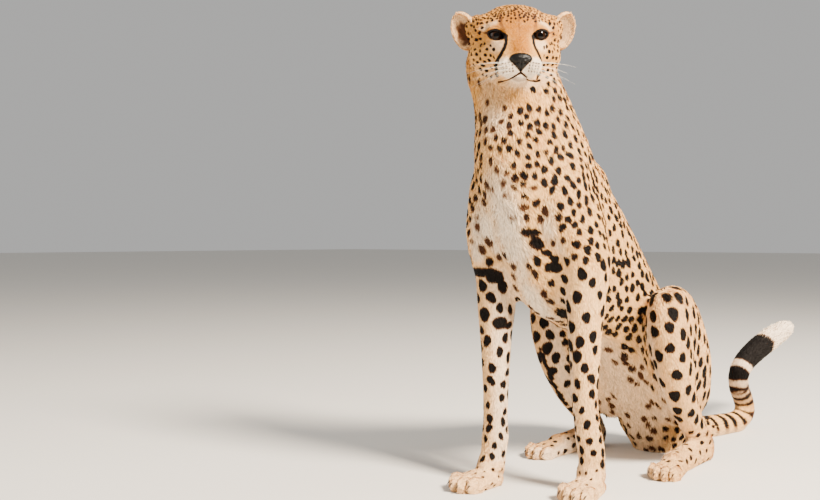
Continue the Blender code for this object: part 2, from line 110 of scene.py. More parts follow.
# the tail's middle line, from root to tip
TAIL_LINE = (
    (0.000, 0.020, 0.083), (0.000, 0.070, 0.052), (0.006, 0.130, 0.024), (0.020, 0.200, 0.022),
    (0.034, 0.270, 0.021), (0.044, 0.325, 0.022), (0.050, 0.357, 0.038), (0.050, 0.352, 0.070),
    (0.050, 0.330, 0.098), (0.050, 0.324, 0.128), (0.052, 0.349, 0.156), (0.056, 0.400, 0.179),
    (0.060, 0.455, 0.196), (0.064, 0.510, 0.211), (0.068, 0.555, 0.222), (0.070, 0.585, 0.229),
)
# the head's own frame: x to its left, y backwards, z up; lengths in mm
HEAD_TURN = math.radians(41.0)
HEAD_NOD = math.radians(6.0)
HEAD_MIDDLE = (0, -20, -20)
EYE_AT = (35.6, -36.5, -1.5)
EYE_SLANT = math.radians(15.0)
EYE_OUTWARD = math.radians(5.0)
EAR_AT = {-1: (-87.0, 18.0, 12.0), 1: (84.0, 18.0, 12.0)}
EAR_TILT = math.radians(23.0)
EAR_OUTWARD = math.radians(24.0)
EAR_SEGMENTS = 72
EAR_RINGS = 60
NOSE_TIP = (0.0, -105.0, -45.0)
NOSE_MIDDLE = (0.0, -93.5, -48.0)
# lines on the face, in mm in the head's own frame; those at the side are the left one, mirrored for the right
MOUTH_LINE = (
    (0, -95.5, -66), (6.5, -94, -70), (15, -80, -74.5), (23, -60, -77), (31, -50, -78.5), (37, -44, -77),
)
PHILTRUM = ((0, -99, -58), (0, -97, -62), (0, -95, -66))
TEAR_LINE = (
    (21.0, -64, -4.5), (22.4, -71, -8.5), (22.6, -77, -15.5), (25.0, -80, -23.8), (30.5, -80, -34.5),
    (35.5, -70, -44.5), (36.6, -56, -56), (36.0, -46, -66), (32.5, -44, -75),
)
EYE_TAIL = ((49, -46, 2.5), (57, -35, 5), (65, -20, 9))
BROW_STREAK = ((28.5, -36, 34), (29.5, -45, 24), (29, -53, 16), (25, -61, 8))
FOREHEAD_LINE = ((0, -47, 32), (0, -58, 18), (0, -72, 0), (0, -80, -10))
OVER_EYE = ((37, -46, 19), (46, -42, 17), (57, -32, 10))
NOSTRIL = ((5.5, -103, -50.5), (9.5, -102, -51.5), (15.0, -98, -47.5))
# how much depth counts in the distance to a line on the face, and to the mouth's, which runs far back
DEPTH = 0.25
EDGE_ON = 0.04
# strokes of dark hair: line, how much depth counts, darkness and half width in mm, each at the start and what
# the way to the end adds, waver, the soft edge's two limits, and the y past which the stroke stops
STROKES = (
    (EYE_TAIL, DEPTH, (0.75, -0.55), (2.0, -1.2), 0.0, (-1.2, 0.6), 99),
    (BROW_STREAK, DEPTH, (0.58, -0.25), (2.6, -1.2), 0.5, (-1.8, 0.8), 99),
    (MOUTH_LINE, EDGE_ON, (0.97, 0.0), (1.7, -0.3), 0.0, (-0.9, 0.5), -34),
    (PHILTRUM, DEPTH, (0.95, 0.0), (1.3, 0.0), 0.0, (-0.8, 0.4), -80),
    (FOREHEAD_LINE, DEPTH, (0.42, -0.30), (0.9, 0.0), 0.4, (-1.3, 0.5), 99),
)
# the paws: heel x and y in metres, heading in radians, then length, half width and height in metres
PAWS = (
    (-0.080, -0.4587, -0.10, 0.098, 0.035, 0.038),
    (0.091, -0.3947, 0.12, 0.098, 0.035, 0.038),
    (-0.131, -0.1507, -0.10, 0.094, 0.033, 0.036),
    (0.131, -0.1507, 0.10, 0.094, 0.033, 0.036),
)
# whiskers and claws, in metres; whiskers are as thick as they need to be to show
WHISKER_RADIUS = 0.00026
CLAW_LENGTH = 0.0130
CLAW_DROP = 0.0060
CLAW_RADIUS = 0.0026
CLAW_SUNK = 0.0035
TOES = ((-0.69, 0.85), (-0.25, 0.97), (0.25, 0.97), (0.69, 0.85))  # aside and ahead, as shares
# dark rings of the tail: middle and half width, as shares of its length
TAIL_RINGS = (
    (0.296, 0.0085), (0.345, 0.0100), (0.390, 0.0105), (0.440, 0.0100), (0.482, 0.0080),
    (0.522, 0.0075), (0.552, 0.0070), (0.581, 0.0070), (0.622, 0.0115),
)
# the dark front edge of the right hind leg: a line of its spots, darkened further as painted shade
FAR_SHIN = (
    (-0.137, -0.224, 0.221), (-0.131, -0.203, 0.179), (-0.132, -0.171, 0.134), (-0.128, -0.139, 0.099),
)
# faint brown marks on the chest: centre in metres and half width in mm
CHEST_MARKS = (
    ((-0.016, -0.552, 0.533), 7.0), ((0.009, -0.549, 0.521), 6.5), ((0.035, -0.533, 0.501), 8.0),
    ((0.015, -0.536, 0.483), 7.0), ((0.016, -0.554, 0.558), 6.0), ((-0.030, -0.545, 0.490), 6.5),
    ((-0.040, -0.552, 0.560), 6.0), ((0.048, -0.524, 0.535), 6.5), ((-0.069, -0.529, 0.483), 5.5),
    ((-0.090, -0.517, 0.442), 6.0),
)
# black patches on the fore legs, as centre and half sizes in metres
LEG_BLOTCHES = (
    ((-0.082, -0.495, 0.388), (0.030, 0.03, 0.0085)),
    ((-0.060, -0.490, 0.380), (0.014, 0.03, 0.012)),
    ((-0.052, -0.480, 0.362), (0.006, 0.02, 0.014)),
    ((-0.082, -0.488, 0.312), (0.011, 0.02, 0.013)),
    ((-0.058, -0.474, 0.296), (0.010, 0.02, 0.011)),
    ((-0.046, -0.455, 0.291), (0.010, 0.02, 0.008)),
    ((0.036, -0.516, 0.459), (0.014, 0.03, 0.007)),
    ((0.040, -0.506, 0.441), (0.010, 0.03, 0.012)),
    ((0.050, -0.488, 0.424), (0.007, 0.02, 0.005)),
    ((0.058, -0.477, 0.414), (0.007, 0.02, 0.006)),
    ((0.054, -0.468, 0.399), (0.014, 0.03, 0.009)),
    ((0.088, -0.450, 0.347), (0.008, 0.02, 0.011)),
    ((0.030, -0.402, 0.313), (0.010, 0.03, 0.014)),
    ((0.058, -0.420, 0.310), (0.009, 0.03, 0.014)),
)
# colours of the eyeball from the middle of the pupil outwards, by share of its radius; iris and white are
# darkened nearly to black as painted shade under the brow
EYE_RINGS = ((0.27, "#020101"), (0.32, "#221105"), (0.52, "#170B04"), (0.64, "#050302"), (0.78, "#0E0906"))
# the stage: lights with their place, size in metres, power in watts and colour, and what they point at
LIGHTS = (
    ("key", (2.9, -0.85, 3.0), 1.0, 860.0, "#FFF0DC"),
    ("fill", (-1.6, -3.2, 1.6), 2.2, 60.0, "#FFF8F0"),
    ("rim", (1.6, 2.6, 2.4), 1.6, 60.0, "#FFF6EA"),
)
LIT_PLACE = Vector((0, -0.2, 0.45))
CAMERA_AT = (1.0002, -1.9362)
CAMERA_HEADING = math.radians(41.0)
CAMERA_PITCH = math.radians(-0.63)
FLOOR_REACH = 30.0


# ---------------------------------------------------------------- numbers
def linear(code):
    """An sRGB hex colour as linear RGBA."""
    parts = [int(code[i : i + 2], 16) / 255 for i in (1, 3, 5)]
    return (*[c / 12.92 if c <= 0.04045 else ((c + 0.055) / 1.055) ** 2.4 for c in parts], 1.0)


def ease(value, low, high):
    """0 below low, 1 above high, smooth in between."""
    t = np.clip((value - low) / (high - low), 0.0, 1.0)
    return t * t * (3.0 - 2.0 * t)


def unit(vectors):
    return vectors / np.maximum(np.linalg.norm(vectors, axis=-1, keepdims=True), 1e-12)


def ridge(gap, width):
    """1 on a line, falling smoothly to nothing at about twice the width from it."""
    return np.exp(-((gap / width) ** 2))


def size_of(vectors):
    return np.linalg.norm(vectors, axis=-1)


def dot(a, b):
    return (a * b).sum(-1)


def head_frame():
    """Takes the head's own frame, in metres, to the body's."""
    turn = Matrix.Rotation(HEAD_TURN, 4, "Z") @ Matrix.Rotation(HEAD_NOD, 4, "X")
    corners = [*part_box("eye_left"), *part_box("eye_right")]
    middle = sum(corners, Vector()) / 4
    return Matrix.Translation(middle - turn.to_3x3() @ Vector((0, EYE_AT[1], EYE_AT[2])) * MM) @ turn


HEAD = head_frame()
HEAD_SPIN = np.array(HEAD.to_3x3())
HEAD_ORIGIN = np.array(HEAD.translation)


def to_head(points):
    """Points of the body's frame, in metres, as mm in the head's own frame."""
    return (points - HEAD_ORIGIN) @ HEAD_SPIN / MM


def from_head(points):
    return HEAD_ORIGIN + (np.asarray(points, float) * MM) @ HEAD_SPIN.T


def nearest_on_line(points, line):
    """Distance to a line of points, share of the way along it, and its direction there."""
    line = np.asarray(line, float)
    starts, spans = line[:-1], line[1:] - line[:-1]
    lengths = size_of(spans)
    before = np.concatenate([[0.0], np.cumsum(lengths)[:-1]])
    best = np.full(len(points), 1e9)
    along = np.zeros(len(points))
    heading = np.zeros((len(points), 3))
    for start, span, length, passed in zip(starts, spans, lengths, before):
        t = np.clip((points - start) @ span / length**2, 0.0, 1.0)
        gap = size_of(points - (start + t[:, None] * span))
        closer = gap < best
        best = np.where(closer, gap, best)
        along = np.where(closer, passed + t * length, along)
        heading[closer] = span / length
    return best, along / lengths.sum(), heading


def mirrored(line, side):
    return [(side * x, y, z) for x, y, z in line]


def face_gap(own, line, side=1, depth=DEPTH):
    """Distance in mm to a line on the face, seen nearly from the front, and share of the way along it."""
    flat = np.array((1.0, depth, 1.0))
    gap, along, _ = nearest_on_line(own * flat, np.array(mirrored(line, side)) * flat)
    return gap, along


def mottled(points, size, seed):
    """Smooth noise, about -1 to 1, in lumps of about the size given."""
    rng = np.random.default_rng(seed)
    total = np.zeros(len(points))
    for _ in range(12):
        way = unit(rng.normal(size=3)) * 2 * math.pi / (size * rng.uniform(1.2, 2.6))
        total += np.sin(points @ way + rng.uniform(0, 2 * math.pi))
    return total / 3.5


def inside(region, *names):
    """Which places lie in the regions named."""
    return np.isin(region, [REGION_NAMES.index(name) for name in names])


# ---------------------------------------------------------------- meshes
def read(items, name, width, kind=np.float32):
    """One property of all of a mesh's items, a row for each."""
    values = np.empty(len(items) * width, kind)
    items.foreach_get(name, values)
    return values.reshape(-1, width)


def mesh_arrays(mesh):
    """Vertex places and vertex normals of a mesh."""
    return read(mesh.vertices, "co", 3).astype(float), read(mesh.vertex_normals, "vector", 3).astype(float)


def edge_array(mesh):
    return read(mesh.edges, "vertices", 2, np.int32)


def set_places(mesh, co):
    mesh.vertices.foreach_set("co", co.astype(np.float32).ravel())
    mesh.update()


def averaged(values, edges, rounds, share=0.5):
    """Values at the vertices, moved towards their neighbours' mean a number of times."""
    first, second = edges[:, 0], edges[:, 1]
    count = len(values)
    flat = values.reshape(count, -1).copy()
    near = np.bincount(first, minlength=count) + np.bincount(second, minlength=count)
    near = np.maximum(near, 1)[:, None]
    for _ in range(rounds):
        total = np.empty_like(flat)
        for k in range(flat.shape[1]):
            total[:, k] = np.bincount(first, flat[second, k], count)
            total[:, k] += np.bincount(second, flat[first, k], count)
        flat += share * (total / near - flat)
    return flat.reshape(values.shape)


def evened(co, edges, back, times):
    """Places smoothed without shrinking the shape: each step inwards is followed by one outwards."""
    for share in (0.5, -back) * times:
        co = averaged(co, edges, 1, share)
    return co


def places_of(bm):
    return np.array([vert.co for vert in bm.verts])


def move_to(bm, places):
    for vert, place in zip(bm.verts, places):
        vert.co = place


def mesh_from(bm, name):
    """A new mesh from bm, which is freed."""
    mesh = bpy.data.meshes.new(name)
    bm.to_mesh(mesh)
    bm.free()
    return mesh


def round_ball(segments, rings):
    """A unit ball; its faces are put in a fixed order, which the operator leaves to chance."""
    bm = bmesh.new()
    bmesh.ops.create_uvsphere(bm, u_segments=segments, v_segments=rings, radius=1.0)
    bm.verts.index_update()
    bm.faces.sort(key=lambda face: face.verts[0].index * len(bm.verts) + face.verts[1].index)
    return bm


def smooth_shaded(mesh):
    for face in mesh.polygons:
        face.use_smooth = True
    return mesh


def face_tree(mesh):
    """Search tree over a mesh's faces."""
    corners = [vert.co for vert in mesh.vertices]
    return BVHTree.FromPolygons(corners, [face.vertices for face in mesh.polygons])


def new_object(name, data):
    obj = bpy.data.objects.new(name, data)
    bpy.context.scene.collection.objects.link(obj)
    return obj


def finished(obj, material, slot, *nodes):
    """Give a piece its material, hang it from the root and hide the CAD nodes that it stands for; slot is not
    used.
    """
    obj.data.materials.clear()
    obj.data.materials.append(material)
    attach(obj, "root")
    if nodes:
        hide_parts(*nodes)
    return obj


def reshaped(obj, kind, **settings):
    """The object with one modifier, of the kind and settings given, applied."""
    change = obj.modifiers.new("change", kind)
    for key, value in settings.items():
        setattr(change, key, value)
    bpy.context.view_layer.update()
    mesh = bpy.data.meshes.new_from_object(obj.evaluated_get(bpy.context.evaluated_depsgraph_get()))
    obj.modifiers.clear()
    old = obj.data
    obj.data = mesh
    bpy.data.meshes.remove(old)
    return obj


def grown_copy(bm, source, by):
    """Add a CAD node's closed mesh to bm, its faces moved outwards a little."""
    piece = bmesh.new()
    piece.from_mesh(source.data)
    bmesh.ops.remove_doubles(piece, verts=piece.verts, dist=0.00001)
    piece.normal_update()
    for vert in piece.verts:
        vert.co += vert.normal * by
    mesh = mesh_from(piece, "copy")
    bm.from_mesh(mesh)
    bpy.data.meshes.remove(mesh)


# ---------------------------------------------------------------- materials
def plug(tree, socket, value):
    """Link another node's socket to this one, or set its value."""
    if isinstance(value, bpy.types.NodeSocket):
        tree.links.new(value, socket)
    else:
        socket.default_value = value


def add_node(tree, kind, settings=None, **inputs):
    """Add a shader node; settings are its own properties, inputs its sockets' values or links."""
    node = tree.nodes.new(kind)
    for key, value in (settings or {}).items():
        setattr(node, key, value)
    for key, value in inputs.items():
        plug(tree, node.inputs[key.replace("_", " ")], value)
    return node


def new_material(name, **inputs):
    """A material with the shader's own sockets set, its node tree and its shader."""
    material = bpy.data.materials.new(name)
    material.use_nodes = True
    shader = material.node_tree.nodes["Principled BSDF"]
    for key, value in inputs.items():
        shader.inputs[key.replace("_", " ")].default_value = value
    return material, material.node_tree, shader


def mixed(tree, share, first, second, kind="MIX"):
    """Colour between two, by a share."""
    node = add_node(tree, "ShaderNodeMix", {"data_type": "RGBA", "blend_type": kind})
    for number, value in ((0, share), (6, first), (7, second)):
        plug(tree, node.inputs[number], value)
    return node.outputs[2]


def coat_colour(tree, settings):
    """Fur colour from the tone and mark attributes, shared by the skin and the coat."""
    shares = []
    for name in ("tone", "mark_and_shade"):
        attribute = add_node(tree, "ShaderNodeAttribute", {"attribute_name": name})
        shares += add_node(tree, "ShaderNodeSeparateColor", Color=attribute.outputs["Color"]).outputs[:3]
    tawny, white, orange, dark, along, vary = shares
    colour = mixed(tree, tawny, (*settings.cream, 1), (*settings.tawny, 1))
    colour = mixed(tree, orange, colour, (*settings.orange, 1))
    colour = mixed(tree, white, colour, (*settings.white, 1))
    # each hair is a little lighter or darker than the next, and darker at its root
    for share, low, high in ((vary, 0.74, 1.16), (along, 0.82, 1.06)):
        light = add_node(tree, "ShaderNodeMapRange", Value=share, To_Min=low, To_Max=high)
        colour = mixed(tree, 1.0, colour, light.outputs[0], "MULTIPLY")
    # a marking, and the painted shade drawn with the markings, is brown where it thins out and nearly black
    # in its middle
    for low, high, ink in ((0.0, 0.6, settings.brown), (0.35, 1.0, settings.black)):
        share = add_node(tree, "ShaderNodeMapRange", Value=dark, From_Min=low, From_Max=high)
        colour = mixed(tree, share.outputs[0], colour, (*ink, 1))
    return colour


def skin_material(settings):
    """Short underfur flat on the hide: dull, with a fine grain."""
    material, tree, shader = new_material("short_underfur", Roughness=0.85, Specular_IOR_Level=0.2)
    plug(tree, shader.inputs["Base Color"], coat_colour(tree, settings))
    place = add_node(tree, "ShaderNodeTexCoord")
    # hairs stand about 0.4 mm apart, drawn at 1.5 mm so that they show
    grain = add_node(tree, "ShaderNodeTexNoise", Vector=place.outputs["Object"], Scale=650.0, Detail=2.0)
    bump = add_node(tree, "ShaderNodeBump", Strength=0.35, Distance=0.0008, Height=grain.outputs["Fac"])
    plug(tree, shader.inputs["Normal"], bump.outputs["Normal"])
    return material


def fur_material(settings):
    """Guard hairs, of dull keratin: a faint sheen where the light grazes them."""
    material, tree, shader = new_material(
        "guard_hair", Roughness=0.62, Specular_IOR_Level=0.12, Sheen_Weight=0.03, Sheen_Roughness=0.5
    )
    plug(tree, shader.inputs["Base Color"], coat_colour(tree, settings))
    return material


# ---------------------------------------------------------------- skin
def face_zone(own):
    """Which points are on the front of the face."""
    return (own[:, 1] < -18) & (own[:, 2] > -90) & (own[:, 2] < 34) & (np.abs(own[:, 0]) < 66)


def rough_skin(settings):
    """The flesh nodes melted into one closed surface, finer on the head and paws."""
    bm = bmesh.new()
    for name in FORM:
        grown_copy(bm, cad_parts[name], 0.0006)
    obj = new_object("skin", mesh_from(bm, "skin"))
    reshaped(obj, "REMESH", mode="VOXEL", voxel_size=settings.cell)
    co, _ = mesh_arrays(obj.data)
    set_places(obj.data, evened(co, edge_array(obj.data), 0.52, 6))
    bm = bmesh.new()
    bm.from_mesh(obj.data)
    bmesh.ops.dissolve_degenerate(bm, dist=1e-6, edges=bm.edges)
    for reach in (1, 2):
        fine = fine_places(places_of(bm), reach)
        bm.verts.index_update()
        cut = [edge for edge in bm.edges if fine[edge.verts[0].index] and fine[edge.verts[1].index]]
        bmesh.ops.subdivide_edges(bm, edges=cut, cuts=1, use_grid_fill=True)
    bmesh.ops.triangulate(bm, faces=[face for face in bm.faces if len(face.verts) > 4])
    bm.to_mesh(obj.data)
    bm.free()
    return obj


def fine_places(points, reach):
    """Which points are meshed finely: head and paws once, face and toes twice."""
    own = to_head(points)
    if reach == 1:
        head = (size_of(own - HEAD_MIDDLE) < 105) & (own[:, 2] > -92)
        paws = (points[:, 2] < 0.060) & (points[:, 1] < -0.12)
        return head | paws
    toes = np.zeros(len(points), bool)
    for paw in PAWS:
        aside, ahead, up = paw_view(points, paw)
        toes |= (np.abs(aside) < 1.1) & (ahead > 0.45) & (ahead < 1.3) & (up < 1.25)
    return toes | face_zone(own)


def solid_tree():
    """Search tree over the solids' faces, and the region that each face belongs to."""
    verts, faces, owner = [], [], []
    for name in FORM:
        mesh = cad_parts[name].data
        start = len(verts)
        verts += [vert.co.copy() for vert in mesh.vertices]
        faces += [[start + i for i in face.vertices] for face in mesh.polygons]
        region = name.removesuffix("_left").removesuffix("_right")
        region = region if region in REGIONS else "head"
        owner += [REGION_NAMES.index(region)] * len(mesh.polygons)
    return BVHTree.FromPolygons(verts, faces), owner


def drawn_to_solids(co, weight):
    """Points pulled on to the surface of the solids, as much as the weight says."""
    tree, _ = solid_tree()
    for i in np.flatnonzero(weight > 0.01):
        place = tree.find_nearest(Vector(co[i]))[0]
        co[i] += (np.array(place) - co[i]) * weight[i]
    return co


def region_of(points):
    """Index of the region that each point belongs to, from the nearest solid; the upper fore legs are leg."""
    tree, owner = solid_tree()
    region = np.array([owner[tree.find_nearest(Vector(point))[2]] for point in points])
    x, y, z = np.abs(points[:, 0]), points[:, 1], points[:, 2]
    arm = inside(region, "trunk") & (x > 0.047) & (z < 0.405) & (y < -0.345)
    region[arm] = REGION_NAMES.index("fore_leg")
    return region


def turned(side, outward, tilt):
    """Turns the own frame of an eye or an ear to the head's."""
    return np.array(Matrix.Rotation(side * outward, 3, "Z") @ Matrix.Rotation(side * tilt, 3, "Y"))


def eye_turn(side):
    return turned(side, EYE_OUTWARD, -EYE_SLANT)


def eye_middle(side):
    return side * EYE_AT[0], EYE_AT[1], EYE_AT[2]


def eye_view(own, side):
    """Points in an eye's own frame: across, up and forward from its centre, in mm."""
    local = (own - eye_middle(side)) @ eye_turn(side)
    return local[:, 0] * side, local[:, 2], -local[:, 1]


def eye_world(across, up, forward, side):
    """The way back from an eye's own frame to the head's."""
    local = np.stack([across * side, -forward, up], 1)
    return local @ eye_turn(side).T + eye_middle(side)


def lid_gap(across, up, settings):
    """Signed distance, in mm, from the edge of the gap between the lids: negative inside it."""
    wide = settings.opening_width / MM / 2
    tall = np.where(up > 0, settings.opening_height / MM * 0.48, settings.opening_height / MM * 0.52)
    power = np.where(up > 0, 1.9, 1.75)
    size = (np.abs(across / wide) ** power + np.abs(up / tall) ** power) ** (1 / power)
    return np.hypot(across, up) * (1.0 - 1.0 / np.maximum(size, 1e-3))


def sculpted_lids(own, settings):
    """Lids over the eyeball, with a pocket behind the gap between them."""
    ball = settings.eye_radius / MM
    for side in BOTH:
        across, up, forward = eye_view(own, side)
        radius = np.hypot(across, up)
        near = (radius < 30) & (forward > 0)
        gap = lid_gap(across, up, settings)
        # vertices close to the lid's edge are drawn on to it
        snap = near & (np.abs(gap) < 0.8)
        pull = np.where(snap, 1.0 - gap / np.maximum(radius, 1e-6), 1.0)
        across, up = across * pull, up * pull
        gap = np.where(snap, 0.0, gap)
        radius = np.hypot(across, up)
        surface = np.sqrt(np.maximum(ball**2 - radius**2, 0.0))
        thick = 1.2 + 1.5 * ease(up, -2.0, 5.0)
        lid = np.sqrt(np.maximum((ball + thick) ** 2 - radius**2, 0.0))
        shaped = np.where(radius < ball + 0.5, np.maximum(forward, lid), forward)
        shaped = shaped - ridge(gap - 4.6, 1.2) * ease(up, 0.0, 4.0) * 1.3
        in_gap = ease(-gap, 0.0, 1.3)
        shaped = shaped * (1 - in_gap) + (surface - 4.0) * in_gap
        moved = eye_world(across, up, np.where(near, shaped, forward), side)
        own = np.where(near[:, None], moved, own)
    return own


def sculpted_face(own, normal, settings):
    """Mouth, philtrum and folds pressed into the face, then the lids."""
    pressed = np.zeros(len(own))
    for side in BOTH:
        ahead = ease(-own[:, 1], 38, 46)
        gap, _ = face_gap(own, MOUTH_LINE, side, EDGE_ON)
        pressed = np.maximum(pressed, 4.0 * ridge(gap, 2.2) * ahead)
        above, _ = face_gap(own + (0, 0, -5.5), MOUTH_LINE, side, EDGE_ON)
        pressed = pressed - 1.4 * ridge(above, 3.4) * ahead
        # the whisker pad swells between the tear line and the nose
        pad = (own - (side * 17, -84, -57)) / (14, 16, 12)
        pressed = pressed - 1.6 * ease(-size_of(pad), -1.2, -0.3)
    chin = ease(-own[:, 2], 73, 77) * ease(-own[:, 1], 60, 80)
    pressed = pressed + 1.8 * chin
    gap, _ = face_gap(own, PHILTRUM)
    pressed = np.maximum(pressed, 2.0 * ridge(gap, 1.7) * ease(-own[:, 1], 80, 88))
    pressed = pressed + 1.6 * ease(-leather_gap(own), -1.0, 1.5)
    return sculpted_lids(own - normal * pressed[:, None], settings)


def paw_view(co, paw):
    """Points in a paw's own frame: aside, ahead of the heel and up, as shares of the paw's sizes."""
    x, y, heading, length, half_width, height = paw
    gap = co[:, :2] - (x, y)
    aside = gap @ (math.cos(heading), math.sin(heading)) / half_width
    ahead = gap @ (math.sin(heading), -math.cos(heading)) / length
    return aside, ahead, co[:, 2] / height


def toe_creases(co):
    """Depth, 0 to 1, of the creases between the toes."""
    deep = np.zeros(len(co))
    for paw in PAWS:
        aside, ahead, up = paw_view(co, paw)
        here = (np.abs(aside) < 1.3) & (ahead > 0.3) & (ahead < 1.35) & (up < 1.5)
        for between in (-0.47, 0.0, 0.47):
            gap = (aside - between * (1.0 + 0.12 * (ahead - 0.9))) * paw[4] / MM
            crease = ridge(gap, 1.9) * ease(ahead, 0.46, 0.78)
            deep = np.maximum(deep, crease * here)
    return deep


def neck_folds(co):
    """Share of a fold's depth on the neck's left, where the skin is drawn down by the turned head."""
    across = co @ (math.cos(HEAD_TURN), math.sin(HEAD_TURN), 0.0)
    phase = (0.80 * across - 0.60 * co[:, 2]) / 0.026 + 0.25 * mottled(co / MM, 30, 15)
    strip = ease(across, -0.335, -0.300) * ease(-across, 0.255, 0.290)
    where = ease(co[:, 2], 0.555, 0.600) * ease(-co[:, 2], -0.705, -0.665) * strip * (co[:, 1] < -0.40)
    return where * (0.5 + 0.5 * np.cos(2 * math.pi * phase)) ** 2


def make_skin(settings):
    """The skin, drawn to the solids, sunk by the coat's depth and then sculpted."""
    obj = rough_skin(settings)
    mesh = obj.data
    co, _ = mesh_arrays(mesh)
    edges = edge_array(mesh)
    own = to_head(co)
    head = ease(-size_of(own - HEAD_MIDDLE), -100, -85) * ease(own[:, 2], -92, -80)
    paws = ease(-co[:, 2], -0.055, -0.040) * ease(-co[:, 1], 0.13, 0.15)
    co = drawn_to_solids(co, np.maximum(head, paws))
    near_eye = np.zeros(len(co), bool)
    for side in BOTH:
        across, up, forward = eye_view(own, side)
        near_eye |= (np.hypot(across, up) < 22) & (forward > 0)
    co = evened(co, edges, 0.51, 5)
    co = np.where(near_eye[:, None], averaged(co, edges, 12), co)
    set_places(mesh, co)
    _, normal = mesh_arrays(mesh)
    region = region_of(co)
    hair = hair_sizes(co, normal, region, edges)
    sole = ease(-co[:, 2], -0.006, -0.002) * ease(-normal[:, 2], 0.4, 0.8)
    depth = averaged(hair[:, 2] * (1 - sole) + 0.3 * sole, edges, 3)
    co = co - normal * (depth * MM)[:, None]
    own = to_head(co)
    face = (own[:, 1] < -15) & (size_of(own) < 130)
    co[face] = from_head(sculpted_face(own[face], normal[face] @ HEAD_SPIN, settings))
    co = co - normal * ((toe_creases(co) * 4.0 + neck_folds(co) * 3.5) * MM)[:, None]
    co[:, 2] = np.maximum(co[:, 2], 0.0003)
    set_places(mesh, co)
    for side in BOTH:
        add_ear(mesh, side)
    smooth_shaded(mesh)
    return obj


def ear_turn(side):
    return turned(side, EAR_OUTWARD, EAR_TILT)


def ear_points(points, side):
    """A unit ball's points, pole forward, bent into a thin cup open to the front, in the head's own frame."""
    polar = np.arccos(np.clip(points[:, 2], -1, 1)) / math.pi  # 0 at the back of the ear, 1 inside the cup
    around = np.arctan2(points[:, 1], points[:, 0])
    rim = 0.56
    outer = polar < rim
    back = np.clip(polar / rim, 0, 1) * math.radians(116)
    front = np.clip((1 - polar) / (1 - rim), 0, 1) * math.radians(84)
    across = np.where(outer, 21.8 * np.sin(back), 19.3 * np.sin(front)) * np.cos(around)
    deep = np.where(outer, 14.5 * np.cos(back), -8.2 + 14.5 * np.cos(front))
    high = np.where(outer, 33.8 * np.sin(back), 30.6 * np.sin(front)) * np.sin(around)
    high = high + np.where(outer, 0, 0.6)
    return np.stack([across, deep, high], 1) @ ear_turn(side).T + EAR_AT[side]


def add_ear(mesh, side):
    """Add a thin cupped ear to the skin."""
    bm = round_ball(EAR_SEGMENTS, EAR_RINGS)
    move_to(bm, from_head(ear_points(places_of(bm), side)))
    bmesh.ops.recalc_face_normals(bm, faces=bm.faces)
    ear = mesh_from(bm, "ear")
    bm = bmesh.new()
    bm.from_mesh(mesh)
    bm.from_mesh(ear)
    bm.to_mesh(mesh)
    bm.free()
    bpy.data.meshes.remove(ear)


def ear_frame(own, side):
    """Points in an ear's own frame: across, back and up from its middle, in mm."""
    return (own - EAR_AT[side]) @ ear_turn(side)


# ---------------------------------------------------------------- coat: where it lies and how long it is
def facing_way(co, normal, way):
    """How squarely the skin faces a way, once the way is turned square to the spine."""
    _, _, heading = nearest_on_line(co, SPINE)
    way = np.array(way)
    return dot(normal, unit(way - heading * (heading @ way)[:, None]))


def under_side(co, normal, low=0.25, high=0.92):
    """1 on throat, chest and belly, 0 on back and flanks; low and high set how far it reaches."""
    return ease(facing_way(co, normal, BELOW), low, high)


def belly(co, start=(0.32, -0.40), full=(0.24, -0.30)):
    """1 low on the trunk behind the fore legs; start and full are a height and a place along the body."""
    return ease(-co[:, 2], -start[0], -full[0]) * ease(co[:, 1], start[1], full[1])


def white_front(co, normal):
    """The white of throat, chest and belly: a band down the middle, with an uneven edge."""
    ragged = 0.05 * mottled(co / MM, 22, 11)
    low = belly(co)
    narrow = under_side(co, normal, 0.86 + ragged, 0.995)
    wide = under_side(co, normal, 0.70 + ragged, 0.97)
    collar = ridge(co[:, 2] - 0.605, 0.045)
    # less white under the jaw: painted shade
    jaw = ease(co[:, 2], 0.64, 0.70)
    return narrow * (1 - low) * (1 - 0.75 * collar) * (1 - 0.40 * jaw) + wide * low


def hair_sizes(co, normal, region, edges):
    """Hair length, hair width and coat depth in mm, smooth over the body."""
    sizes = np.array([REGIONS[name] for name in REGION_NAMES])[region]
    body = inside(region, "neck", "trunk")
    y, z = co[:, 1], co[:, 2]
    chest = under_side(co, normal, 0.70, 0.99) * body * ease(z, 0.27, 0.36) * ease(-z, -0.62, -0.54)
    low = under_side(co, normal) * body * ease(-z, -0.34, -0.28) * ease(y, -0.42, -0.36)
    _, along, _ = nearest_on_line(co, TAIL_LINE)
    tail = inside(region, "tail")
    face = inside(region, "head") * ease(-to_head(co)[:, 1], 5, 45)
    # share of each place, and what it adds to length, width and depth
    for share, more in (
        (np.maximum(0.80 * chest, 0.85 * low), (0.9, 0.12, 0.8)),
        (tail * ease(along, 0.62, 0.88), (0.9, 0.15, 1.7)),
        (tail * ease(along, 0.93, 0.99), (-0.45, 0.0, 0.0)),
        (face, (-0.48, -0.25, -0.35)),
    ):
        sizes = sizes * (1 + share[:, None] * more)
    return averaged(sizes, edges, 14)


def lie_of_coat(co, region):
    """Direction in which the hair lies, before it is laid along the skin."""
    own = to_head(co)
    lie = np.zeros((len(co), 3))
    for name, line in (("neck", SPINE), ("trunk", SPINE), ("tail", TAIL_LINE)):
        here = inside(region, name)
        lie[here] = nearest_on_line(co[here], line)[2]
    for name, way in LEG_LIE:
        lie[inside(region, name)] = way
    here = inside(region, "head")
    from_nose = own[here] - NOSE_TIP
    from_nose[:, 1] += 12
    lie[here] = unit(from_nose) @ HEAD_SPIN.T
    for side in BOTH:
        local = ear_frame(own, side)
        here = inside(region, "ear") & (np.sign(own[:, 0]) == side)
        outwards = np.stack([local[:, 0] * 0.6, np.zeros(len(co)), local[:, 2] + 40], 1)
        lie[here] = (unit(outwards) @ ear_turn(side).T @ HEAD_SPIN.T)[here]
    return lie


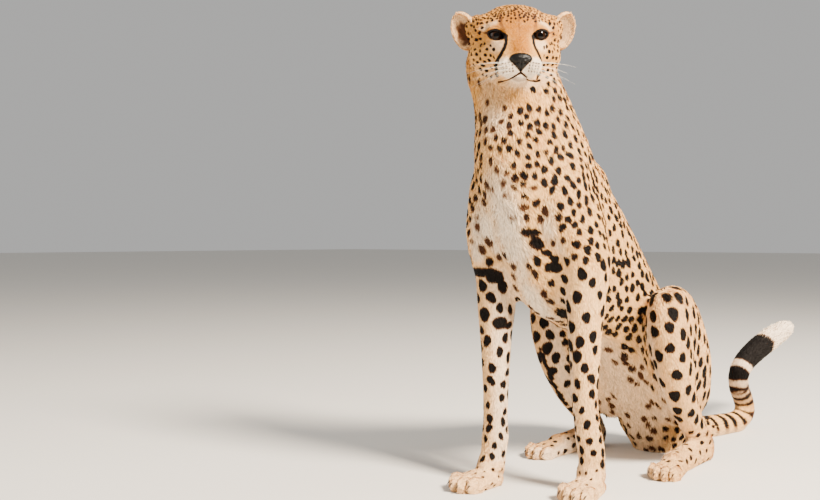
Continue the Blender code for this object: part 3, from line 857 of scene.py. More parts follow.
def along_skin(vectors, normal):
    return unit(vectors - normal * dot(vectors, normal)[:, None])


# ---------------------------------------------------------------- markings
def face_tones(own):
    """Tawny, white and orange on the face: white muzzle and round the eyes, orange bridge and forehead."""
    x, y, z = np.abs(own[:, 0]), own[:, 1], own[:, 2]
    blur = mottled(own, 9, 3)
    front = ease(-y, 18, 42)
    bridge = ease(-x - 1.5 * blur, -25, -8) * ease(z, -44, -31) * front
    forehead = ease(-np.hypot(x / 50, (z - 16) / 34) - 0.08 * blur, -1.30, -0.35) * front
    temple = 0.62 * ease(-np.hypot((x - 56) / 32, (z - 8) / 40) - 0.1 * blur, -1.30, -0.2)
    crown = 0.50 * ease(z, 18, 36)
    muzzle = ease(-z - 0.6 * blur, 38, 47) * ease(-x, -38, -31) * ease(-y, 40, 62)
    chin = 0.55 * ease(-z, 70, 78) * ease(-y, 30, 55)
    under_eye = ease(-np.hypot((x - 35) / 14, (z + 21) / 11) - 0.08 * blur, -1.35, -0.45) * ease(-y, 25, 45)
    gap = np.minimum(face_gap(own, OVER_EYE)[0], face_gap(own, OVER_EYE, -1)[0])
    over_eye = ease(-gap - 0.8 * blur, -6.5, -1.5)
    below = ease(-z, 35, 80) * ease(x, 24, 40)
    white = np.maximum.reduce([muzzle, chin, 0.42 * under_eye, 0.36 * over_eye, 0.35 * below])
    orange = np.maximum.reduce([0.98 * bridge, 0.95 * forehead, temple, crown])
    orange = orange * (1 - white) * (1 + 0.12 * blur)
    tawny = (0.78 + 0.15 * blur) * (1 - white)
    return np.clip(np.stack([tawny, white, orange], 1), 0, 1)


def throat(co, normal, region):
    """1 under the jaw, where the coat is left plain and is darkened as painted shade under the head."""
    return inside(region, "neck", "head") * ease(co[:, 2], 0.650, 0.690) * under_side(co, normal, 0.35, 0.80)


def tones(co, normal, region):
    """Shares of tawny, white and orange in the coat; under the jaw and in the neck's folds the extra tawny is
    painted shade.
    """
    own = to_head(co)
    x, z = co[:, 0], co[:, 2]
    body = inside(region, "neck", "trunk")
    behind = facing_way(co, normal, BEHIND)
    front = white_front(co, normal)
    tawny = 0.16 + 0.56 * ease(behind, 0.0, 0.95)
    rump = 0.34 * ease(behind, 0.1, 0.95)
    tawny = np.where(inside(region, "haunch"), 0.20 + 0.20 * ease(z, 0.12, 0.36) + rump, tawny)
    tawny = np.where(inside(region, "fore_leg", "fore_paw"), 0.10, tawny)
    tawny = np.where(inside(region, "hind_foot"), 0.25, tawny)
    # more tawny in the neck's folds: painted shade in the creases
    tawny = tawny + 0.06 * mottled(co / MM, 70, 5) + 0.30 * neck_folds(co)
    low = belly(co, (0.34, -0.42), (0.26, -0.32)) * body
    streak = mottled(co / MM * (1, 1, 0.3), 12, 14)
    # under the jaw: more tawny and less white, painted shade that sets the head off from the neck
    plain = throat(co, normal, region)
    tawny = np.where(low > 0, np.maximum(tawny, (0.45 + 0.25 * streak) * low * front), tawny)
    tawny = np.maximum(tawny, 0.80 * plain)
    white = front * body * (1 - 0.45 * low) * (1 - 0.60 * plain)
    inner = np.zeros(len(co))
    for side in BOTH:
        inner = np.maximum(inner, ease(-side * normal[:, 0], 0.1, 0.8) * (side * x > 0.02))
    white = np.where(inside(region, "fore_leg", "haunch", "hind_foot"), 0.15 + 0.55 * inner, white)
    white = np.where(inside(region, "fore_paw"), 0.30, white)
    _, along, _ = nearest_on_line(co, TAIL_LINE)
    pale = np.maximum(0.6 * ease(-normal[:, 2], -0.1, 0.9), 0.8 * ease(along, 0.50, 0.62))
    white = np.where(inside(region, "tail"), np.maximum(pale, ease(along, 0.80, 0.82)), white)
    found = np.stack([tawny, white, np.zeros(len(co))], 1)
    head = inside(region, "head")
    found[head] = face_tones(own[head])
    ahead = np.array((math.sin(HEAD_TURN), -math.cos(HEAD_TURN), 0.0))
    turned_away = ease(-(normal @ ahead), -0.9, 0.1)
    ear = inside(region, "ear")
    ears = (0.45 + 0.2 * turned_away, 0.35 * (1 - turned_away), 0.15 + 0.15 * turned_away)
    found[ear] = np.stack(ears, 1)[ear]
    return np.clip(found, 0, 1)


def bare_of_spots(co, own, region):
    """Which places have no scattered spots: part of the face, ears, tail's end, toes, round drawn marks."""
    x, y, z = np.abs(own[:, 0]), own[:, 1], own[:, 2]
    middle = (x < 27) & (z > -50) & (z < 12) & (y < -35)
    round_eye = (np.hypot((x - 38) / 24, (z - 2) / 21) < 1) & (y < -15)
    muzzle = (z < -38) & (x < 36) & (y < -45)
    bare = inside(region, "ear") | (inside(region, "head") & (middle | round_eye | muzzle | (y < -62)))
    bare |= inside(region, "tail") & (nearest_on_line(co, TAIL_LINE)[1] > 0.275)
    for centre, half in LEG_BLOTCHES:
        bare |= size_of((co - centre) / (np.array(half) + 0.010)) < 1.15
    for centre, half in CHEST_MARKS:
        bare |= size_of((co - centre) / MM) < half + 9
    for paw in PAWS:
        aside, ahead, _ = paw_view(co, paw)
        bare |= (np.abs(aside) < 1.4) & (ahead > 0.62) & (co[:, 2] < 0.05)
    return bare


def spot_sizes(co, normal, region):
    """Spot radius and spacing in mm, and how many are left out, by place."""
    own = to_head(co)
    x, y, z = np.abs(own[:, 0]), own[:, 1], own[:, 2]
    _, along, _ = nearest_on_line(co, SPINE)
    behind = ease(facing_way(co, normal, BEHIND), 0.1, 0.9)
    down = ease(along, 0.18, 0.50)
    rear = ease(along, 0.60, 0.85)
    crown = ease(z, 12, 32)
    forehead = ease(-x, -34, -24) * ease(-y, 20, 35)
    leg = ease(co[:, 2], 0.10, 0.30)
    foot = ease(co[:, 1], -0.24, -0.14)
    rows = {
        "head": ((3.0 - 0.8 * crown) * (1 - 0.45 * forehead * ease(-z, -30, -14)), 10.5 - 4.8 * crown),
        "ear": (0.1, 9.0),
        "neck": (5.2 - 1.0 * behind, 15.8 - 3.6 * behind),
        "trunk": (
            5.7 + 1.5 * down - 0.7 * rear - 0.8 * behind,
            16.2 + 4.0 * down - 1.0 * rear - 2.2 * behind,
        ),
        "tail": (5.0, 15.0),
        "fore_leg": (5.6 + 2.8 * leg, 20.0 + 6.0 * leg),
        "fore_paw": (2.4, 15.0),
        "haunch": (9.2, 29.0),
        "hind_foot": (3.2 + 1.4 * foot, 17.0 + 5.0 * foot),
    }
    radius = np.zeros(len(co))
    spacing = np.zeros(len(co))
    for name, (size, apart) in rows.items():
        here = inside(region, name)
        radius = np.where(here, size, radius)
        spacing = np.where(here, apart, spacing)
    left_out = (0.92 - 0.35 * belly(co)) * white_front(co, normal) * inside(region, "neck", "trunk")
    left_out = np.maximum(left_out, 0.95 * throat(co, normal, region) * inside(region, "neck"))
    left_out = np.where(inside(region, "head"), forehead * ease(-z, -27, -12), left_out)
    return radius, spacing, np.where(bare_of_spots(co, own, region), 1.0, left_out)


def scattered(co, triangles, weight, count, rng):
    """Random places on the skin: triangle and shares of its corners."""
    corner = co[triangles]
    area = size_of(np.cross(corner[:, 1] - corner[:, 0], corner[:, 2] - corner[:, 0])) / 2
    share = area * weight[triangles].mean(1)
    ends = np.cumsum(share) / share.sum()
    picked = np.searchsorted(ends, (np.arange(count) + rng.random(count)) / count)
    picked = np.minimum(picked, len(triangles) - 1)
    a, b = rng.random(count), rng.random(count)
    flip = a + b > 1
    a, b = np.where(flip, 1 - a, a), np.where(flip, 1 - b, b)
    return picked, np.stack([1 - a - b, a, b], 1)


def spread(values, triangles, picked, shares):
    """Vertex values carried to places on the triangles."""
    corner = values[triangles[picked]]
    return (corner * shares.reshape(shares.shape + (1,) * (corner.ndim - 2))).sum(1)


def well_apart(place, facing, spacing):
    """Which places to keep, so that none is too near an earlier one on the same side of the body."""
    keep = []
    cells = {}
    for i in range(len(place)):
        key = tuple((place[i] // SPOT_CELL).astype(int))
        span = int(spacing[i] * MM / SPOT_CELL) + 1
        clear = True
        for a, b, c in product(range(-span, span + 1), repeat=3):
            for j in cells.get((key[0] + a, key[1] + b, key[2] + c), ()):
                limit = 0.5 * (spacing[i] + spacing[j]) * CLOSENESS * MM
                if abs(place[i, 0] - place[j, 0]) < limit and np.linalg.norm(place[i] - place[j]) < limit:
                    clear = clear and facing[i] @ facing[j] < 0.2
        if clear:
            cells.setdefault(key, []).append(i)
            keep.append(i)
    return np.array(keep)


def spot_table(co, normal, triangles, region, lie, rng):
    """Centres, axes, sizes and outlines of the spots, none too near another."""
    weight = np.where(inside(region, "head"), 9.0, 1.0)
    picked, shares = scattered(co, triangles, weight, SPOT_TRIES, rng)
    order = rng.permutation(len(picked))
    picked, shares = picked[order], shares[order]
    place, facing, heading = (spread(values, triangles, picked, shares) for values in (co, normal, lie))
    facing = unit(facing)
    area = region[triangles[picked, 0]]
    radius, spacing, left_out = spot_sizes(place, facing, area)
    keep = np.flatnonzero(left_out <= 0.99)
    keep = keep[well_apart(place[keep], facing[keep], spacing[keep])]
    keep = keep[rng.random(len(keep)) > left_out[keep]]
    place, facing, heading, area = place[keep], facing[keep], heading[keep], area[keep]
    count = len(keep)
    angle = rng.normal(0, 0.25, count)[:, None]
    first = along_skin(heading, facing)
    axis = first * np.cos(angle) + np.cross(facing, first) * np.sin(angle)
    return {
        "place": place,
        "axis": axis,
        "aside": np.cross(facing, axis),
        "facing": facing,
        "radius": radius[keep] * rng.uniform(0.80, 1.15, count),
        "longer": rng.uniform(1.15, 1.50, count),
        "wave": rng.uniform(0, 2 * math.pi, (count, 2)),
        "fade": under_side(place, facing, 0.84, 1.0) * inside(area, "neck", "trunk"),
    }


def nearest_spots(co, table, number=3):
    tree = KDTree(len(table["place"]))
    for i, place in enumerate(table["place"]):
        tree.insert(place, i)
    tree.balance()
    return np.array([[hit[1] for hit in tree.find_n(place, number)] for place in co])


def spot_gap(points, near, table):
    """Signed distance in mm from the nearest spot's edge: negative inside."""
    best = np.full(len(points), 99.0)
    for k in range(near.shape[1]):
        i = near[:, k]
        offset = (points - table["place"][i]) / MM
        u = dot(offset, table["axis"][i]) / table["longer"][i]
        v = dot(offset, table["aside"][i])
        lift = dot(offset, table["facing"][i])
        angle = np.arctan2(v, u)
        wave = table["wave"][i]
        outline = 1 + 0.09 * np.sin(2 * angle + wave[:, 0]) + 0.07 * np.sin(3 * angle + wave[:, 1])
        gap = np.sqrt(u**2 + v**2 + 0.25 * lift**2) - table["radius"][i] * outline
        best = np.minimum(best, gap)
    return best


def leather_gap(own):
    """Signed distance in mm from the edge of the nose leather, a triangle point down: negative inside."""
    half = np.interp(own[:, 2], (-65, -60, -52, -45, -40, -36), (1.0, 4.5, 12.5, 18.5, 17.5, 9.0))
    ahead = np.where(own[:, 1] < -86, 0.0, 20.0)
    return np.maximum(np.abs(own[:, 0]) - half, np.maximum(own[:, 2] + 37.0, -own[:, 2] - 64.0)) + ahead


def whisker_places(side):
    """Where the whiskers stand on one side of the muzzle, as x and z in the head's own frame."""
    rows = product(range(4), repeat=2)
    return [(side * (15.5 + 4.8 * k - 0.8 * row), -49.5 - 4.6 * row - 0.6 * k) for row, k in rows]


def face_marks_and_shade(own, settings):
    """Darkness of the lines on the face, and painted shade under the chin and above the eyes."""
    dark = np.zeros(len(own))
    blur = mottled(own, 5, 8)
    y = own[:, 1]
    for side in BOTH:
        gap, along = face_gap(own, TEAR_LINE, side)
        thick = 2.5 + 1.5 * ease(along, 0.40, 0.70) - 2.6 * ease(along, 0.80, 1.0)
        thick = (1.0 if side < 0 else 0.85) * thick
        dark = np.maximum(dark, ease(thick - gap + 0.25 * blur, -0.8, 0.5) * (y < -25))
        across, up, forward = eye_view(own, side)
        rim = lid_gap(across, up, settings)
        # the lids' black rim is the coat's own; its extra width above the eye is painted shade under the brow
        width = 2.3 + 1.0 * ease(up, 0, 4) + 1.0 * ease(-across, 9, 14)
        dark = np.maximum(dark, (forward > 0) * ease(width - rim, -0.9, 0.6) * (rim < 8))
        for line, depth, (start, more), (width, wider), waver, (low, high), last in STROKES:
            gap, along = face_gap(own, line, side, depth)
            stroke = ease(width + wider * along - gap + waver * blur, low, high) * (y < last)
            dark = np.maximum(dark, (start + more * along) * stroke)
        for x, z in whisker_places(side):
            gap = np.hypot(own[:, 0] - x, own[:, 2] - z)
            dark = np.maximum(dark, 0.80 * ease(1.15 - gap, -0.6, 0.4) * (y < -60))
    # painted shade under the chin
    chin = ease(-own[:, 2], 71, 76) * ease(-y, 50, 72)
    dark = np.maximum(dark, 0.30 * chin)
    return np.maximum(dark, ease(-leather_gap(own), -0.6, 0.6))


def ear_marks_and_shade(own, facing, region):
    """Darkness of the ears: darker towards the middle of the cup, the right ear much darker inside as painted
    shade, with a black band across the back.
    """
    dark = np.zeros(len(own))
    for side in BOTH:
        local = ear_frame(own, side)
        ear = inside(region, "ear") & (np.sign(own[:, 0]) == side)
        front = ease(-(facing @ ear_turn(side))[:, 1], 0.0, 0.25)
        cup = np.hypot((local[:, 0] - side * 1.5) / 21.0, (local[:, 2] + 3) / 31)
        # the right ear (side -1) is over twice as dark inside as the left: painted shade
        shade = (0.66 if side < 0 else 0.30) * ease(-cup + 0.10 * mottled(own, 6, 4), -1.02, -0.35) * front
        band = 0.95 * ease(-np.abs(local[:, 2] + 3) / 18, -1.0, -0.75) * (1 - front) * ease(local[:, 1], 0, 6)
        dark = np.where(ear, np.maximum(shade, band), dark)
    return dark


def tail_marks(co, normal):
    """Darkness of the tail's bars, rings and black end."""
    _, along, _ = nearest_on_line(co, TAIL_LINE)
    blur = 0.0022 * mottled(co / MM, 14, 6)
    lying = ease(-along, -0.50, -0.46)
    slanted = along + 0.016 * normal[:, 2] * lying
    dark = np.zeros(len(co))
    for middle, half in TAIL_RINGS:
        ring = ease(half + blur - np.abs(slanted - middle), -0.0022, 0.0022)
        dark = np.maximum(dark, ring * (0.15 + 0.85 * np.maximum(1 - lying, ease(normal[:, 2], -0.5, 0.1))))
    black = ease(along + blur, 0.656, 0.662) * ease(-along - 2 * blur, -0.818, -0.808)
    return np.maximum(dark, black)


def drawn_marks_and_shade(co, normal, region, settings):
    """Darkness, 0 to 1, of the marks that have places of their own: face, ears, chest, legs, tail; with
    painted shade under the chin, inside the ears, between the toes and along the right hind leg.
    """
    own = to_head(co)
    dark = np.zeros(len(co))
    head = inside(region, "head")
    dark[head] = face_marks_and_shade(own[head], settings)
    dark = np.maximum(dark, ear_marks_and_shade(own, normal @ HEAD_SPIN, region))
    legs = inside(region, "trunk", "fore_leg")
    blur = mottled(co / MM, 9, 9)
    for centre, half in LEG_BLOTCHES:
        size = size_of((co - centre) / half) + 0.10 * blur
        dark = np.maximum(dark, legs * ease(-size, -1.18, -0.95))
    body = inside(region, "neck", "trunk")
    for centre, half in CHEST_MARKS:
        gap = size_of((co - centre) / MM * (0.75, 1.0, 1.35)) + 1.4 * blur
        dark = np.maximum(dark, 0.70 * body * ease(half - gap, -2.5, 2.0))
    # the right hind leg's front edge: spots darkened further as painted shade
    gap, _, _ = nearest_on_line(co / MM, np.array(FAR_SHIN) / MM)
    dark = np.maximum(dark, inside(region, "haunch") * ease(5.0 + 2.5 * blur - gap, -2.5, 1.5))
    # painted shade in the creases between the toes
    dark = np.maximum(dark, 0.6 * ease(toe_creases(co), 0.35, 0.95) * inside(region, "fore_paw", "hind_foot"))
    return np.where(inside(region, "tail"), tail_marks(co, normal), dark)


def darkness(co, normal, region, near, table, settings):
    """All markings together, with the painted shade drawn among them, 0 to 1."""
    gap = spot_gap(co, near, table)
    faded = table["fade"][near[:, 0]]
    soft = np.where(inside(region, "head"), 0.45, 0.7) + 1.5 * faded
    spots = ease(-gap, -soft, soft) * (1 - 0.30 * faded)
    return np.maximum(spots, drawn_marks_and_shade(co, normal, region, settings))


# ---------------------------------------------------------------- coat: tufts
def face_triangles(mesh):
    """The corners of a mesh's triangles, as vertices and as loops."""
    mesh.calc_loop_triangles()
    return read(mesh.loop_triangles, "vertices", 3, np.int32), read(mesh.loop_triangles, "loops", 3, np.int32)


def unwrapped(obj):
    """Unwrap the skin's own shape and give the places of its loops."""
    obj.data.uv_layers.new(name="OFBake")
    bpy.context.view_layer.objects.active = obj
    obj.select_set(True)
    bpy.ops.object.mode_set(mode="EDIT")
    bpy.ops.mesh.select_all(action="SELECT")
    bpy.ops.uv.smart_project(angle_limit=math.radians(66), island_margin=0.002)
    bpy.ops.object.mode_set(mode="OBJECT")
    return read(obj.data.uv_layers["OFBake"].data, "uv", 2)


def thinned(obj):
    """The skin with fewer triangles: flat places lose theirs first, and the face keeps its own."""
    face = face_zone(to_head(mesh_arrays(obj.data)[0]))
    group = obj.vertex_groups.new(name="thinned")
    group.add(np.flatnonzero(~face).tolist(), 1.0, "REPLACE")
    reshaped(obj, "DECIMATE", ratio=SKIN_TRIANGLES / len(obj.data.loop_triangles), vertex_group=group.name)
    obj.vertex_groups.clear()
    obj.data.uv_layers.remove(obj.data.uv_layers["OFBake"])
    unwrapped(obj)
    return obj


def set_attribute(mesh, name, values):
    """Values kept at the vertices: one number each, or three as a colour."""
    if values.ndim == 1:
        mesh.attributes.new(name, "FLOAT", "POINT").data.foreach_set("value", values.astype(np.float32))
    else:
        rows = np.concatenate([values, np.ones((len(values), 1))], 1).astype(np.float32)
        mesh.attributes.new(name, "FLOAT_COLOR", "POINT").data.foreach_set("color", rows.ravel())


def tuft_mesh(name, roots):
    """One mesh of thin blades, two triangles and a point each, lying along the coat."""
    place, normal, lie = roots["place"], roots["normal"], roots["lie"]
    length, width, depth = (roots["sizes"][:, k : k + 1] * MM for k in range(3))
    across = np.cross(normal, lie) * np.cos(roots["roll"]) + normal * np.sin(roots["roll"])
    lift = normal * depth * roots["lift"]
    base = place - normal * 0.0004
    middle = place + lie * length * 0.5 + lift * 0.9
    tip = place + lie * length + lift * roots["droop"]
    half = across * width
    low, high = half * 0.5, half * 0.42
    points = np.stack([base - low, base + low, middle + high, middle - high, tip], 1)
    points[:, :, 2] = np.maximum(points[:, :, 2], 0.0002)
    count = len(place)
    corner = np.array([0, 2, 1, 0, 3, 2, 3, 4, 2])
    faces = (np.arange(count) * 5)[:, None] + corner
    mesh = bpy.data.meshes.new(name)
    mesh.vertices.add(count * 5)
    mesh.vertices.foreach_set("co", points.astype(np.float32).ravel())
    mesh.loops.add(count * 9)
    mesh.loops.foreach_set("vertex_index", faces.astype(np.int32).ravel())
    mesh.polygons.add(count * 3)
    mesh.polygons.foreach_set("loop_start", np.arange(count * 3, dtype=np.int32) * 3)
    mesh.update(calc_edges=True)
    along = np.tile([0.0, 0.0, 0.5, 0.5, 1.0], count)
    dark = roots["dark"][:, [0, 0, 0, 0, 1]].ravel()
    set_attribute(mesh, "tone", np.repeat(roots["tone"], 5, axis=0))
    set_attribute(mesh, "mark_and_shade", np.stack([dark, along, np.repeat(roots["vary"], 5)], 1))
    patch = np.array([(-0.5, -0.5), (0.5, -0.5), (0.45, 0.0), (-0.45, 0.0), (0.0, 0.5)]) * UV_PATCH
    uv = roots["uv"][:, None, :] + patch[corner][None]
    mesh.uv_layers.new(name="OFBake").data.foreach_set("uv", uv.astype(np.float32).ravel())
    return mesh


def has_hair(co, settings):
    """0 where the skin is bare: between the lids, under the nose leather and on the soles."""
    own = to_head(co)
    hair = np.ones(len(co))
    for side in BOTH:
        across, up, forward = eye_view(own, side)
        hair = np.where((forward > 0) & (lid_gap(across, up, settings) < 1.1), 0.0, hair)
    hair = np.where(leather_gap(own) < 0.4, 0.0, hair)
    return np.where(co[:, 2] < 0.0025, 0.0, hair)


def tuft_roots(count, skin):
    """Place, lie, size and colour of each tuft of the coat."""
    co, normal, region, triangles = (hide[key] for key in ("co", "normal", "region", "triangles"))
    sizes = hair_sizes(co, normal, region, hide["edges"])
    sizes[inside(region, "ear")] = REGIONS["ear"]
    weight = has_hair(co, skin) / (sizes[:, 0] * sizes[:, 1])
    rng = hide["rng"]
    picked, shares = scattered(co, triangles, weight, count, rng)

    def carried(values, corners=triangles):
        return spread(values, corners, picked, shares)

    place = carried(co)
    facing = unit(carried(normal))
    area = region[triangles[picked, 0]]
    root_sizes = carried(sizes)
    under = under_side(place, facing, 0.60, 0.95) * inside(area, "neck", "trunk")
    clump = 0.20 * mottled(place / MM, 16, 12) * (0.4 + under)
    swerve = (rng.normal(0, 1, count) * (0.15 + 0.18 * under) + clump)[:, None]
    lie = along_skin(carried(hide["lie"]), facing)
    lie = lie * np.cos(swerve) + np.cross(facing, lie) * np.sin(swerve)
    lengths = root_sizes[:, :1] * rng.uniform(0.75, 1.25, (count, 1))
    near = hide["near"][triangles[picked, 0]]
    # a hair takes the colour of the marking that its middle and its tip lie over
    dark = []
    for share in (0.5, 0.95):
        dark.append(darkness(place + lie * lengths * share * MM, facing, area, near, hide["table"], skin))
    return area, {
        "place": place,
        "normal": facing,
        "lie": lie,
        "sizes": np.concatenate([lengths, root_sizes[:, 1:]], 1),
        "roll": rng.normal(0, 0.45, (count, 1)),
        "lift": rng.uniform(0.55, 1.0, (count, 1)),
        "droop": rng.uniform(0.45, 1.05, (count, 1)),
        "tone": np.clip(carried(hide["tone"]) + rng.normal(0, 0.05, (count, 3)), 0, 1),
        "dark": np.stack(dark, 1),
        "vary": rng.random(count),
        "uv": carried(hide["uv"], hide["loops"]),
    }


# ---------------------------------------------------------------- eyes, nose, whiskers and claws
def eye_material():
    """The eyeball: black pupil, dark amber iris with a black edge, brown white of the eye, all wet; iris and
    white darkened nearly to black as painted shade under the brow.
    """
    material, tree, shader = new_material("wet_eye", Roughness=0.07, IOR=1.376, Specular_IOR_Level=0.3)
    ring = add_node(tree, "ShaderNodeAttribute", {"attribute_name": "ring"})
    ramp = add_node(tree, "ShaderNodeValToRGB", Fac=ring.outputs["Fac"])
    stops = ramp.color_ramp.elements
    stops.remove(stops[1])
    stops[0].position = EYE_RINGS[0][0]
    stops[0].color = linear(EYE_RINGS[0][1])
    for position, colour in EYE_RINGS[1:]:
        stops.new(position).color = linear(colour)
    plug(tree, shader.inputs["Base Color"], ramp.outputs["Color"])
    return material


def plain_material(name, colour, roughness, grain, depth):
    """One colour, with a pebbled surface of so many grains to the metre."""
    material, tree, shader = new_material(
        name, Base_Color=linear(colour), Roughness=roughness, Specular_IOR_Level=0.2
    )
    place = add_node(tree, "ShaderNodeTexCoord")
    cells = add_node(tree, "ShaderNodeTexVoronoi", Vector=place.outputs["Object"], Scale=grain)
    bump = add_node(tree, "ShaderNodeBump", Strength=0.5, Distance=depth, Height=cells.outputs["Distance"])
    plug(tree, shader.inputs["Normal"], bump.outputs["Normal"])
    return material


def eye_object(name, side, settings):
    """An eyeball with its cornea swelling, its pole along the line of sight."""
    bm = round_ball(64, 48)
    points = places_of(bm)
    polar = np.arccos(np.clip(points[:, 2], -1, 1))
    ball = settings.eye_radius / MM
    radius = ball - 0.3 + 0.8 * ease(-polar, -0.80, -0.35)
    across, up, forward = (points * radius[:, None]).T
    move_to(bm, from_head(eye_world(across, up, forward, side)))
    bmesh.ops.recalc_face_normals(bm, faces=bm.faces)
    mesh = smooth_shaded(mesh_from(bm, name))
    set_attribute(mesh, "ring", np.where(forward > 0, np.hypot(across, up), 30.0) / ball)
    return new_object(name, mesh)


def nose_object():
    """The nose leather: the solid's shape, smoothed, with nostrils, the groove between and raised wings."""
    tree = face_tree(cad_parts["nose"].data)
    bm = bmesh.new()
    bmesh.ops.create_icosphere(bm, subdivisions=6, radius=1.0)
    middle = Vector(from_head(NOSE_MIDDLE))
    for vert in bm.verts:
        hit = tree.ray_cast(middle, vert.co.normalized())[0]
        vert.co = hit if hit else middle
    mesh = mesh_from(bm, "nose")
    co, _ = mesh_arrays(mesh)
    own = to_head(evened(co, edge_array(mesh), 0.52, 14))
    front = ease(-own[:, 1], 92, 98)
    pressed = 1.1 * ridge(own[:, 0], 0.9) * ease(-own[:, 2], 44, 49) * front
    for side in BOTH:
        gap, _ = face_gap(own, NOSTRIL, side)
        pressed += 2.0 * ridge(gap, 1.3) * front
        pressed -= 0.6 * ridge(gap - 3.2, 1.3) * front
    own[:, 1] += pressed
    set_places(mesh, from_head(own))
    return new_object("nose_leather", smooth_shaded(mesh))


def bent_cones(name, cones, sides, cuts):
    """One mesh of tapering cones: each has a base, a heading and a bend in metres, and a radius."""
    straight = bpy.data.meshes.new(name)
    bm = bmesh.new()
    bmesh.ops.create_cone(bm, cap_ends=True, segments=sides, radius1=1.0, radius2=0.12, depth=1.0)
    long = [edge for edge in bm.edges if abs(edge.verts[0].co.z - edge.verts[1].co.z) > 0.5]
    bmesh.ops.subdivide_edges(bm, edges=long, cuts=cuts)
    bm.to_mesh(straight)
    bm.clear()
    for base, heading, bend, radius in cones:
        start = len(bm.verts)
        bm.from_mesh(straight)
        bm.verts.ensure_lookup_table()
        first = heading.orthogonal().normalized()
        second = heading.normalized().cross(first)
        for vert in bm.verts[start:]:
            t = vert.co.z + 0.5
            middle = base + heading * t + bend * t * t
            vert.co = middle + (first * vert.co.x + second * vert.co.y) * radius
    bpy.data.meshes.remove(straight)
    bmesh.ops.recalc_face_normals(bm, faces=bm.faces)
    return new_object(name, smooth_shaded(mesh_from(bm, name)))


def whisker_cones(rng):
    """Long stiff hairs from the dark dots of the muzzle, swept outwards, back and down."""
    tree = face_tree(bpy.data.objects["skin"].data)
    turn = HEAD.to_3x3()
    cones = []
    for side in BOTH:
        for number, (x, z) in enumerate(whisker_places(side)):
            start = Vector(from_head((x, -140, z)))
            hit = tree.ray_cast(start, turn @ Vector((0, 1, 0)))[0]
            if hit is None:
                continue
            row, k = divmod(number, 4)
            way = Vector((side * (0.80 + 0.05 * k), -0.42 + 0.20 * k, 0.10 - 0.13 * row)).normalized()
            length = (0.038 + 0.008 * k) * rng.uniform(0.85, 1.15)
            bend = Vector((0, 0.30, -0.16)) * length
            cones.append((hit - turn @ way * 0.001, turn @ way * length, turn @ bend, WHISKER_RADIUS))
    return cones


def claw_cones():
    """Blunt claws that show at the toes' tips, curved down."""
    tree = face_tree(bpy.data.objects["skin"].data)
    cones = []
    for x, y, heading, length, half_width, height in PAWS:
        ahead = Vector((math.sin(heading), -math.cos(heading), 0))
        aside = Vector((math.cos(heading), math.sin(heading), 0))
        for toe, reach in TOES:
            start = Vector((x, y, height * 0.44)) + aside * toe * half_width + ahead * length * reach * 0.85
            hit = tree.ray_cast(start, ahead)[0]
            if hit is not None:
                way = (ahead + Vector((0, 0, -0.05))) * CLAW_LENGTH
                cones.append((hit - ahead * CLAW_SUNK, way, Vector((0, 0, -CLAW_DROP)), CLAW_RADIUS))
    return cones


# ---------------------------------------------------------------- the pieces, one operator each
def length(name, description, default):
    """A length that a user may change, in metres."""
    return FloatProperty(name=name, description=description, default=default, unit="LENGTH")


def hair_colour(name, description, code):
    """A colour of hair that a user may change."""
    return FloatVectorProperty(name=name, description=description, default=linear(code)[:3], subtype="COLOR")


class CheetahSkinSettings(bpy.types.PropertyGroup):
    """Sizes of the skin and the lids"""

    cell: length("Cell", "Mesh size on the body", 0.005)
    eye_radius: length("Eyeball", "Radius of the eyeball", 0.0168)
    opening_width: length("Eye width", "Gap between the lids, across", 0.0275)
    opening_height: length("Eye height", "Gap between the lids, up", 0.0150)


class CheetahCoatSettings(bpy.types.PropertyGroup):
    """Colours and amount of the coat"""

    tufts: IntProperty(name="Tufts", description="Number of tufts over the body", default=462000)
    seed: IntProperty(name="Seed", description="Seed of the scatter", default=7)
    cream: hair_colour("Cream", "Body colour", "#FBC880")
    tawny: hair_colour("Tawny", "Colour of the back", "#DA9A3E")
    orange: hair_colour("Orange", "Colour of the forehead", "#AE6A00")
    white: hair_colour("White", "Colour of muzzle, chest and belly", "#F9E6CB")
    black: hair_colour("Black", "Colour of the marks", "#090402")
    brown: hair_colour("Brown", "Colour of the marks' thin edges", "#6A3C1E")


class CheetahStageSettings(bpy.types.PropertyGroup):
    """The camera and lights"""

    lens: FloatProperty(name="Lens", description="Focal length in mm", default=43.9)
    camera_height: length("Camera height", "Above the floor", 0.4475)


class CHEETAH_OT_skin(bpy.types.Operator):
    """Make the skin with its markings"""

    bl_idname = "cheetah.skin"
    bl_label = "Skin"

    def execute(self, context):
        settings = context.scene.cheetah_skin
        obj = make_skin(settings)
        mesh = obj.data
        co, normal = mesh_arrays(mesh)
        region = region_of(co)
        # the ears are the last vertices
        ears = 2 * (EAR_SEGMENTS * (EAR_RINGS - 1) + 2)
        region[len(co) - ears :] = REGION_NAMES.index("ear")
        edges = edge_array(mesh)
        triangles, loops = face_triangles(mesh)
        rng = np.random.default_rng(context.scene.cheetah_coat.seed)
        lie = lie_of_coat(co, region)
        for _ in range(3):
            lie = along_skin(averaged(lie, edges, 8), normal)
        table = spot_table(co, normal, triangles, region, lie, rng)
        near = nearest_spots(co, table)
        dark = darkness(co, normal, region, near, table, settings)
        tone = averaged(tones(co, normal, region), edges, 8)
        set_attribute(mesh, "tone", tone)
        set_attribute(mesh, "mark_and_shade", np.stack([dark, np.full(len(co), 0.4), np.full(len(co), 0.4)], 1))
        hide.update(co=co, normal=normal, region=region, edges=edges, triangles=triangles, loops=loops)
        hide.update(lie=lie, table=table, near=near, tone=tone, uv=unwrapped(obj), rng=rng)
        finished(thinned(obj), skin_material(context.scene.cheetah_coat), "coat", *FLESH, *EARS)
        return {"FINISHED"}


